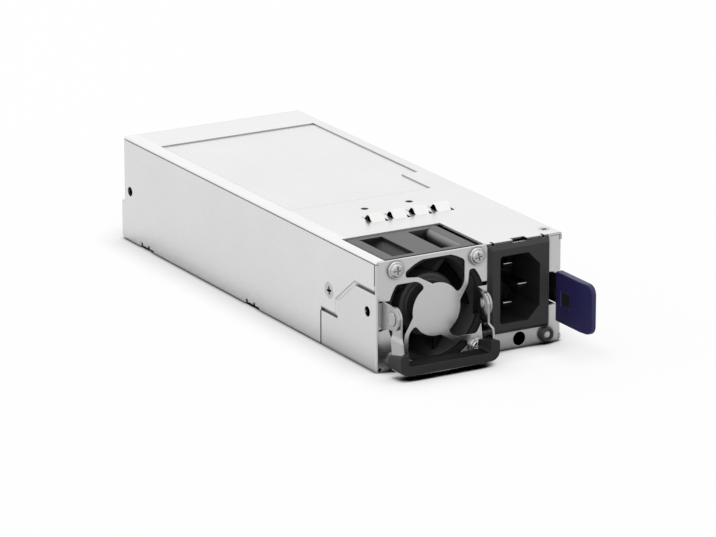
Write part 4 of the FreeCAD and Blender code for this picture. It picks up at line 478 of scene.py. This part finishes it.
# Boxes of painted shade and painted light on the housing.
tone_boxes(fan_grey, fan_low.y, {
    "painted shade in the left pocket": ((-33, -1, 0), (-14.5, HOUSING_BACK, HOUSING_TOP), 0.26),
    "painted light in the right pocket": ((-12, -1, 0), (6, HOUSING_BACK, HOUSING_TOP), 1.9),
    "painted shade on the upper left edge": ((-33, -1, HOUSING_TOP), (-31.4, HOUSING_BACK, 40), 0.4),
    "painted shade behind the flange's hole": ((-33, -1, 15), (-31, 10, 26), 0.05),
})
finish_node("fan_frame", fan_grey)
finish_node("fan_gasket", moulded("foam_black", (0.012, 0.012, 0.012), 0.9, grain=900.0,
                                  relief=0.6))
finish_node("fan_lead", moulded("lead_sleeve", (0.02, 0.02, 0.022), 0.5))
finish_node("fan_plug", moulded("plug_ivory", (0.7, 0.66, 0.55), 0.45))


# -------------------------------------------------------------- fan rotor
# Glass-filled black moulding: a cup with a rounded nose and five cambered
# blades grown out of its wall. It turns on the shaft pressed into the cup.

BEVEL_ANGLE = 35.0      # degrees
SHARP_ANGLE = 32.0


def piece(name, form, material, body, bevel=0.0, segments=2, wall=0.0):
    """Turns a bmesh into a named piece on a body, with its finish and its soft edges."""
    mesh = bpy.data.meshes.new(name)
    form.to_mesh(mesh)
    form.free()
    mesh.materials.append(material)
    new = bpy.data.objects.new(name, mesh)
    scene.collection.objects.link(new)
    if wall:
        shell = new.modifiers.new("wall", "SOLIDIFY")
        shell.thickness = wall
        shell.offset = 0.0
    if bevel:
        soft = new.modifiers.new("soft_edges", "BEVEL")
        soft.width = bevel
        soft.segments = segments
        soft.limit_method = "ANGLE"
        soft.angle_limit = math.radians(BEVEL_ANGLE)
    for face in mesh.polygons:
        face.use_smooth = True
    mesh.set_sharp_from_angle(angle=math.radians(SHARP_ANGLE))
    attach(new, body)
    return new


def turned_form(profile, middle, axis, steps=48):
    """Spins a profile of (radius, distance along the axis) round an axis through the point."""
    form = bmesh.new()
    points = [form.verts.new((radius * MM, 0, along * MM)) for radius, along in profile]
    edges = [form.edges.new(pair) for pair in zip(points, points[1:])]
    bmesh.ops.spin(form, geom=points + edges, cent=(0, 0, 0), axis=(0, 0, 1),
                   angle=math.tau, steps=steps, use_merge=True)
    bmesh.ops.remove_doubles(form, verts=form.verts, dist=1e-7)
    bmesh.ops.recalc_face_normals(form, faces=form.faces)
    turn = Vector(axis).to_track_quat("Z", "Y").to_matrix().to_4x4()
    bmesh.ops.transform(form, matrix=Matrix.Translation(middle) @ turn, verts=form.verts)
    return form


rotor_low, rotor_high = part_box("fan_rotor")
axle = (rotor_low + rotor_high) / 2
tip = (rotor_high.x - rotor_low.x) / 2 / MM
depth = (rotor_high.y - rotor_low.y) / MM
HUB_R = 11.3
HUB_WALL = 0.9
NOSE = 1.1              # the nose's rounded rim
nose_at = Vector((axle.x, rotor_low.y, axle.z))
hub = turned_form([
    (0, 0), (HUB_R - NOSE - 1.6, 0), (HUB_R - NOSE - 1.3, 0.25), (HUB_R - NOSE, 0.25),
    (HUB_R - 0.35, 0.55), (HUB_R, NOSE + 0.2), (HUB_R, depth), (HUB_R - HUB_WALL, depth),
    (HUB_R - HUB_WALL, HUB_WALL + 0.2), (0, HUB_WALL + 0.2)], nose_at, (0, 1, 0))
rotor_nose = moulded("rotor_nose", (0.05, 0.05, 0.052), 0.45)
rotor = piece("rotor_hub", hub, rotor_nose, "fan", bevel=0.0003)
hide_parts("fan_rotor")

BLADES = 5
SWEEP = 50.0            # degrees from the front to the back edge
CAMBER = 9.0
TIP_LAG = 10.0
BLADE_THICK = 0.8
BLADE_MARGIN = 0.7      # from the hub's ends
ROOT = 0.4              # sunk in the hub's wall
TIP_GAP = 0.02
rotor_black = moulded("rotor_black", (0.008, 0.008, 0.0085), 0.45, specular=0.22)
for number in range(BLADES):
    blade = bmesh.new()
    bmesh.ops.create_grid(blade, x_segments=6, y_segments=14, size=0.5)
    for point in blade.verts:
        out = point.co.x + 0.5
        along = point.co.y + 0.5
        radius = HUB_R - ROOT + (tip - HUB_R + ROOT - TIP_GAP) * out
        bow = CAMBER * math.sin(math.pi * along)
        lean = SWEEP * along + bow - TIP_LAG * out * (1 - along)
        angle = math.radians(360 / BLADES * number + lean)
        y = BLADE_MARGIN + (depth - 2 * BLADE_MARGIN) * along
        point.co = Vector((radius * math.cos(angle), y, radius * math.sin(angle))) * MM
    bmesh.ops.translate(blade, vec=nose_at, verts=blade.verts)
    bmesh.ops.recalc_face_normals(blade, faces=blade.faces)
    vane = piece(f"rotor_blade_{number + 1}", blade, rotor_black, "fan", wall=BLADE_THICK * MM)
    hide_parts("fan_rotor")


# ----------------------------------------------------------------- screws
# Pan and countersunk heads with a cross recess, in polished bright zinc.
# The pan heads hold the fan, the flat ones the heatsinks and the lid.

RECESS_TAPER = 0.72     # the recess's floor against its mouth
# The hollow darkens the cross recesses with painted shade.
polished = plated_sheet("bright_zinc", (0.62, 0.62, 0.615), 0.12, grain=400.0, edge=0.00008,
                        hollow=0.0012)


def cross_screw(profile, middle, axis, turn, arm, half, sink):
    """Turned screw, open at the top of its profile, with a cross recess let into the opening.

    arm and half are the recess's reach and half width, sink its depth.
    """
    form = turned_form(profile, (0, 0, 0), (0, 0, 1))
    top = profile[-1][1] * MM
    opening = [edge for edge in form.edges if edge.is_boundary]
    corners = [(half, arm), (half, half), (arm, half), (arm, -half), (half, -half),
               (half, -arm), (-half, -arm), (-half, -half), (-arm, -half), (-arm, half),
               (-half, half), (-half, arm)]
    points = [form.verts.new((x * MM, y * MM, top)) for x, y in corners]
    sides = [form.edges.new(pair) for pair in zip(points, points[1:] + points[:1])]
    bmesh.ops.subdivide_edges(form, edges=sides, cuts=3)
    mouth = [edge for edge in form.edges if edge.is_wire]
    bmesh.ops.bridge_loops(form, edges=opening + mouth)
    sunk = bmesh.ops.extrude_edge_only(form, edges=mouth)["geom"]
    low = [item for item in sunk if isinstance(item, bmesh.types.BMVert)]
    bmesh.ops.translate(form, vec=(0, 0, -sink * MM), verts=low)
    bmesh.ops.scale(form, vec=(RECESS_TAPER, RECESS_TAPER, 1), verts=low)
    bmesh.ops.holes_fill(form, edges=[edge for edge in form.edges if edge.is_boundary], sides=0)
    bmesh.ops.recalc_face_normals(form, faces=form.faces)
    stand = Vector(axis).to_track_quat("Z", "Y").to_matrix().to_4x4()
    place = Matrix.Translation(middle) @ stand @ Matrix.Rotation(math.radians(turn), 4, "Z")
    bmesh.ops.transform(form, matrix=place, verts=form.verts)
    return form


PAN_R = 3.1
PAN_HIGH = 1.88
HEAD_SET = 3.15         # a head's middle from the group's outer sides
low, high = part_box("fan_screws")
shank_end = -(high.y - face_y) / MM
pan_head = [
    (0, shank_end), (1.1, shank_end), (1.4, shank_end + 0.4), (1.4, 0.0), (PAN_R - 0.1, 0.0),
    (PAN_R, 0.1), (PAN_R, 0.7), (PAN_R - 0.12, 1.0), (PAN_R - 0.35, 1.2), (PAN_R - 0.55, 1.12),
    (PAN_R - 0.7, 1.14), (PAN_R - 0.85, 1.5), (PAN_R - 1.02, 1.75), (1.86, PAN_HIGH)]
turns = iter((8, 2, -6, 12))
for x in (low.x + HEAD_SET * MM, high.x - HEAD_SET * MM):
    for z in (low.z + HEAD_SET * MM, high.z - HEAD_SET * MM):
        middle = Vector((x, face_y, z))
        screw = cross_screw(pan_head, middle, (0, -1, 0), next(turns), arm=1.7, half=0.2,
                            sink=0.45)
        head = piece(f"fan_screw_{'l' if x < axle.x else 'r'}{'b' if z < axle.z else 't'}",
                     screw, polished, "case", bevel=0.00006)
        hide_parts("fan_screws")

FLAT_R = 2.85
FLAT_SET = 2.9
low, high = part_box("side_screws")
flat_head = [
    (0, -3.2), (1.1, -3.2), (1.4, -2.9), (1.4, -1.55), (FLAT_R - 0.05, -0.2),
    (FLAT_R, -0.1), (FLAT_R - 0.05, -0.03), (1.72, -0.02)]
for side, x, y in ((-1, low.x, low.y + FLAT_SET * MM), (1, high.x, high.y - FLAT_SET * MM)):
    middle = Vector((x, y, (low.z + high.z) / 2))
    screw = cross_screw(flat_head, middle, (side, 0, 0), -8 * side, arm=1.5, half=0.36, sink=1.2)
    head = piece(f"side_screw_{'l' if side < 0 else 'r'}", screw, polished, "case", bevel=0.00005)
    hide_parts("side_screws")

low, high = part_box("cover_screw")
middle = Vector(((low.x + high.x) / 2, (low.y + high.y) / 2, high.z))
small_head = [
    (0, -2.4), (0.7, -2.4), (0.96, -2.15), (0.96, -1.05), (1.93, -0.12), (1.96, -0.06),
    (1.9, -0.03), (1.25, -0.02)]
screw = cross_screw(small_head, middle, (0, 0, 1), 30, arm=1.1, half=0.28, sink=0.8)
head = piece("lid_screw", screw, polished, "case", bevel=0.00004)
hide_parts("cover_screw")


# ------------------------------------------------------------ mains inlet
# Black moulded socket with a bevelled frame, set in the panel's opening,
# and three nickel-plated flat pins held in its floor. The socket's hollows
# carry painted shade, and the pins' noses are painted near black, a painted
# reflection of the socket.

inlet_black = moulded("inlet_black", (0.026, 0.026, 0.027), 0.4, edge=0.0003, hollow=0.008)
finish_node("inlet_housing", inlet_black)

pin_nickel = plated_sheet("pin_nickel", (0.42, 0.415, 0.41), 0.22, grain=400.0)
pin_end_reflection = moulded("pin_end_reflection", (0.004, 0.004, 0.004), 0.6, specular=0.06)
PIN_WIDE = 4.0
PIN_THICK = 2.0
PIN_SPARE = 0.02        # kept off the CAD pin's sides
PIN_NOSE = 0.42
END_DEEP = 0.4
pins_low, pins_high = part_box("inlet_pins")
pin_left = pins_low.x + PIN_WIDE / 2 * MM
pin_right = pins_high.x - PIN_WIDE / 2 * MM
pin_rise = PIN_THICK / 2 * MM
LIVE_BACK = 3.0
for name, x, z, y in (
        ("live", pin_left, pins_high.z - pin_rise, pins_low.y + LIVE_BACK * MM),
        ("neutral", pin_left, pins_low.z + pin_rise, pins_low.y + LIVE_BACK * MM),
        ("earth", pin_right, (pins_low.z + pins_high.z) / 2, pins_low.y)):
    pin = bmesh.new()
    bmesh.ops.create_cube(pin, size=1.0)
    long = pins_high.y - y
    size = ((PIN_WIDE - PIN_SPARE) * MM, long, (PIN_THICK - PIN_SPARE) * MM)
    bmesh.ops.scale(pin, vec=size, verts=pin.verts)
    nose = [edge for edge in pin.edges if all(point.co.y < 0 for point in edge.verts)]
    bmesh.ops.bevel(pin, geom=nose, offset=PIN_NOSE * MM, affect="EDGES", segments=3,
                    profile=0.5, material=-1)
    bmesh.ops.translate(pin, vec=(x, (pins_high.y + y) / 2, z), verts=pin.verts)
    # The nose faces take the near-black painted reflection.
    front = min(face.calc_center_median().y for face in pin.faces)
    for face in pin.faces:
        at_end = face.calc_center_median().y < front + END_DEEP * MM
        face.material_index = int(at_end and face.normal.z < 0.3)
    contact_pin = piece(f"pin_{name}", pin, pin_nickel, "case")
    contact_pin.data.materials.append(pin_end_reflection)
    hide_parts("inlet_pins")


# ----------------------------------------------------------- status light
# Grey moulded bezel pressed into the panel, and in it a clear moulded
# light guide with a domed end.

low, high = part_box("status_bezel")
middle = (low + high) / 2
wide = (high.x - low.x) / 2 / MM
long = (high.y - low.y) / MM
LIGHT_HOLE = 1.47
NECK_R = 2.08
bezel = turned_form([
    (LIGHT_HOLE, long), (NECK_R, long), (NECK_R, 1.82), (wide, 1.8), (wide, 0.75),
    (wide - 0.35, 0.2), (wide - 0.9, 0.02), (wide - 1.1, 0.05), (LIGHT_HOLE, 0.45),
    (LIGHT_HOLE, long)], Vector((middle.x, low.y, middle.z)), (0, 1, 0))
ring = piece("light_bezel", bezel, moulded("bezel_grey", (0.045, 0.045, 0.047), 0.35), "case")
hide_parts("status_bezel")

low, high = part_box("status_lens")
middle = (low + high) / 2
GUIDE_SPARE = 0.01
wide = (high.x - low.x) / 2 / MM - GUIDE_SPARE
long = (high.y - low.y) / MM
guide = turned_form([
    (0, 0.05), (0.5, 0.1), (0.95, 0.3), (1.25, 0.62), (wide, 1.05), (wide, long), (0, long)],
    Vector((middle.x, low.y, middle.z)), (0, 1, 0))
clear = moulded("guide_clear", (0.85, 0.86, 0.84), 0.08, relief=0.01)
clear.node_tree.nodes["Principled BSDF"].inputs["Transmission Weight"].default_value = 0.15
dome = piece("light_guide", guide, clear, "case")
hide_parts("status_lens")


# ------------------------------------------------------------ release tab
# Blue moulded thumb tab on the tang of the steel lever: soft edges, a
# lead-in at its tip and a small dark pocket on its inner face. The lever
# turns on a pin in a bracket, against a coiled spring.

TIP_R = 3.4
LEAD_L = 6.4
LEAD_IN = 1.1
POCKET_Y = (8.7, 2.8)   # its ends, from the tab's back
POCKET_Z = (5.9, 11.6)  # its ends, from the tab's bottom
low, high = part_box("latch_tab")
tab = bmesh.new()
corners = [(high.y, low.z), (low.y, low.z), (low.y, high.z), (high.y, high.z)]
tab.faces.new([tab.verts.new((high.x, y, z)) for y, z in corners])
tip_corners = [point for point in tab.verts if point.co.y < low.y + TINY]
bmesh.ops.bevel(tab, geom=tip_corners, offset=TIP_R * MM, affect="VERTICES", segments=10,
                profile=0.5, material=-1)
lead_y = low.y + LEAD_L * MM
pocket_low = Vector((low.x, high.y - POCKET_Y[0] * MM, low.z + POCKET_Z[0] * MM))
pocket_high = Vector((low.x, high.y - POCKET_Y[1] * MM, low.z + POCKET_Z[1] * MM))
for spot in (lead_y, pocket_low.y, pocket_high.y):
    bmesh.ops.bisect_plane(tab, geom=tab.verts[:] + tab.edges[:] + tab.faces[:],
                           plane_co=(0, spot, 0), plane_no=(0, 1, 0))
for spot in (pocket_low.z, pocket_high.z):
    band = [face for face in tab.faces
            if pocket_low.y < face.calc_center_median().y < pocket_high.y]
    edges = {edge for face in band for edge in face.edges}
    points = {point for face in band for point in face.verts}
    bmesh.ops.bisect_plane(tab, geom=list(points) + list(edges) + band,
                           plane_co=(0, 0, spot), plane_no=(0, 0, 1))
grown = bmesh.ops.extrude_face_region(tab, geom=tab.faces[:])["geom"]
inner = [item for item in grown if isinstance(item, bmesh.types.BMVert)]
bmesh.ops.translate(tab, vec=(low.x - high.x, 0, 0), verts=inner)
for point in inner:
    ahead = (lead_y - point.co.y) / (LEAD_L * MM)
    if ahead > 0:
        point.co.x += LEAD_IN * MM * ahead
bmesh.ops.recalc_face_normals(tab, faces=tab.faces)
floor_of_pocket = [face for face in tab.faces if face.normal.x < -0.9
                   and pocket_low.y < face.calc_center_median().y < pocket_high.y
                   and pocket_low.z < face.calc_center_median().z < pocket_high.z]
for rim, deep in ((0.3, 0.25), (0.4, 0.3)):
    bmesh.ops.inset_region(tab, faces=floor_of_pocket, thickness=rim * MM, depth=-deep * MM)
# The pocket's floor is painted near black: painted shade.
for face in floor_of_pocket:
    face.material_index = 1
tab_blue = moulded("tab_blue", (0.021, 0.018, 0.095), 0.42, grain=2200.0, relief=0.12)
thumb_tab = piece("thumb_tab", tab, tab_blue, "latch", bevel=0.0005, segments=3)
thumb_tab.data.materials.append(moulded("pocket_shade", (0.006, 0.007, 0.008), 0.6))
thumb_tab.visible_glossy = False    # the satin panel mirrors no blue
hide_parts("latch_tab")

lever_steel = plated_sheet("lever_steel", (0.7, 0.7, 0.7), 0.3)
for node in ("latch_lever", "latch_bracket", "latch_pin", "latch_spring"):
    finish_node(node, lever_steel)


# ----------------------------------------------------------- folding bail
# Bright spring-steel strip bent into two cranked arms, which turn on two
# flat-headed rivets through the ears.

# The hollow adds painted shade in the bail's and rivets' corners.
bail_steel = plated_sheet("bail_steel", (0.5, 0.5, 0.5), 0.13, hollow=0.0015)
finish_node("handle_bail", bail_steel)

HEAD_R = 2.45
low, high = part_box("handle_rivets")
pivot = (low + high) / 2
for side, outer in ((-1, low.x), (1, high.x)):
    rivet = turned_form([
        (0, 0), (HEAD_R - 0.35, 0), (HEAD_R - 0.12, 0.06), (HEAD_R, 0.2), (HEAD_R, 0.38),
        (1.2, 0.38), (1.2, 2.15), (1.85, 2.15), (1.85, 2.3), (1.6, 2.5), (0.9, 2.58), (0, 2.58)],
        Vector((outer, pivot.y, pivot.z)), (-side, 0, 0))
    head = piece(f"rivet_{'l' if side < 0 else 'r'}", rivet, bail_steel, "case")
    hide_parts("handle_rivets")


# ------------------------------------------------------------ handle grip
# Black soft plastic moulded round the bail's lower end: two uprights and a
# thinner bar between them. Its rounded edges carry a painted highlight, and
# the top of the bar is painted darker as painted shade.

UPRIGHT = 3.4
BAR_HIGH = 3.5
BAR_BACK = 2.3          # the bar is this much thinner than the uprights
OUTER_R = 3.4
INNER_R = 1.0
TOP_R = 1.3
TOP_SLOPE = 1.8
UNDERCUT = 0.45
STEP_WIDE = 0.35
SOFT_EDGE = 0.0005      # metres
low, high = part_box("handle_grip")
under_z = low.z + UNDERCUT * MM
inner_left = low.x + UPRIGHT * MM
inner_right = high.x - UPRIGHT * MM
floor_z = low.z + BAR_HIGH * MM
grip = bmesh.new()
corners = [(low.x, high.z), (low.x, under_z), (high.x, under_z), (high.x, high.z),
           (inner_right, high.z), (inner_right, floor_z), (inner_left, floor_z),
           (inner_left, high.z)]
grip.faces.new([grip.verts.new((x, low.y, z)) for x, z in corners])
outer_corners = [point for point in grip.verts if point.co.z < under_z + TINY]
bmesh.ops.bevel(grip, geom=outer_corners, offset=OUTER_R * MM, affect="VERTICES", segments=8,
                profile=0.5, material=-1)
top_corners = [point for point in grip.verts if point.co.z > high.z - TINY
               and not inner_left - TINY < point.co.x < inner_right + TINY]
bmesh.ops.bevel(grip, geom=top_corners, offset=TOP_R * MM, affect="VERTICES", segments=5,
                profile=0.5, material=-1)
inner_corners = [point for point in grip.verts if abs(point.co.z - floor_z) < TINY]
bmesh.ops.bevel(grip, geom=inner_corners, offset=INNER_R * MM, affect="VERTICES", segments=4,
                profile=0.5, material=-1)
for x in (inner_left, inner_left + STEP_WIDE * MM, inner_right, inner_right - STEP_WIDE * MM):
    bmesh.ops.bisect_plane(grip, geom=grip.verts[:] + grip.edges[:] + grip.faces[:],
                           plane_co=(x, 0, 0), plane_no=(1, 0, 0))
grown = bmesh.ops.extrude_face_region(grip, geom=grip.faces[:])["geom"]
back = [item for item in grown if isinstance(item, bmesh.types.BMVert)]
bmesh.ops.translate(grip, vec=(0, high.y - low.y, 0), verts=back)
bar = [point for point in back
       if inner_left + 0.3 * MM < point.co.x < inner_right - 0.3 * MM]
bmesh.ops.translate(grip, vec=(0, -BAR_BACK * MM, 0), verts=bar)
tops = [point for point in back if point.co.z > high.z - (TOP_R + 0.01) * MM]
bmesh.ops.translate(grip, vec=(0, 0, -TOP_SLOPE * MM), verts=tops)
bmesh.ops.recalc_face_normals(grip, faces=grip.faces)
# The bar's top faces take the darker material: painted shade.
for face in grip.faces:
    if face.normal.z > 0.9 and inner_left < face.calc_center_median().x < inner_right:
        face.material_index = 1
grip_black = moulded("grip_black", (0.038, 0.038, 0.039), 0.45, grain=2400.0, relief=0.1,
                     specular=0.12)
grip_shade = moulded("grip_hollow", (0.012, 0.012, 0.0125), 0.6, grain=2400.0, relief=0.1,
                     specular=0.08)
grip_highlight = moulded("grip_highlight", (0.085, 0.085, 0.087), 0.35, grain=2400.0, relief=0.05,
                    specular=0.3)
grip_piece = piece("grip", grip, grip_black, "handle", bevel=SOFT_EDGE, segments=3)
grip_piece.data.materials.append(grip_shade)
grip_piece.data.materials.append(grip_highlight)
# The rounded edges take the lighter material: a painted highlight.
grip_piece.modifiers["soft_edges"].material = 2
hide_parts("handle_grip")


# -------------------------------------------------------- earthing spring
# Thin nickel-plated strip fixed under the lid. Its four bowed fingers stand
# up through the lid's windows and touch the server's frame.

spring_nickel = plated_sheet("spring_nickel", (0.93, 0.93, 0.92), 0.2, grain=500.0,
                             edge=0.00005)
finish_node("spring_fingers", spring_nickel)


# --------------------------------------------------------- fan's own motor
# Wound copper stator, ferrite ring magnet glued in the cup, and a turned
# steel shaft in two bearings.

motor_steel = plated_sheet("motor_steel", (0.72, 0.71, 0.7), 0.25, grain=700.0)
for node in ("fan_shaft", "fan_bearings"):
    finish_node(node, motor_steel)
copper = plated_sheet("copper_wire", (0.75, 0.34, 0.16), 0.35, grain=900.0)
finish_node("fan_stator", copper)
ferrite = moulded("ferrite", (0.05, 0.05, 0.055), 0.7)
finish_node("fan_magnet", ferrite)


# --------------------------------------------------------------- boards
# Green laminate with solder resist, gold contacts on the card edge, brass
# standoffs, and the pale film that keeps the board off the floor.

board_green = moulded("board_green", (0.016, 0.1, 0.045), 0.35)
for node in ("main_board", "control_board"):
    finish_node(node, board_green)
gold = plated_sheet("contact_gold", (0.95, 0.7, 0.32), 0.25, grain=500.0)
finish_node("edge_contacts", gold)
brass = plated_sheet("standoff_brass", (0.8, 0.62, 0.3), 0.35, grain=600.0)
finish_node("board_standoffs", brass)
finish_node("insulator_sheet", moulded("film", (0.6, 0.62, 0.6), 0.3))


# ------------------------------------------------------ parts on the board
# Chokes, capacitors, transformer, relay, fuse and heatsinks, soldered to
# the board or screwed to the walls.

for node in ("filter_choke_core", "boost_choke_core", "transformer_core", "resonant_choke"):
    finish_node(node, ferrite)
for node in ("filter_choke_windings", "boost_choke_winding", "transformer_winding"):
    finish_node(node, copper)
finish_node("filter_capacitor", moulded("box_yellow", (0.65, 0.5, 0.08), 0.4))
finish_node("bulk_capacitor", moulded("can_sleeve", (0.03, 0.03, 0.05), 0.3))
case_black = moulded("package_black", (0.02, 0.02, 0.021), 0.5)
for node in ("relay", "control_header", "power_transistors"):
    finish_node(node, case_black)
finish_node("fuse_link", motor_steel)
alloy = plated_sheet("heatsink_alloy", (0.8, 0.8, 0.81), 0.35, grain=600.0)
for node in ("primary_heatsink", "secondary_heatsink", "output_capacitors"):
    finish_node(node, alloy)

low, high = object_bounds()
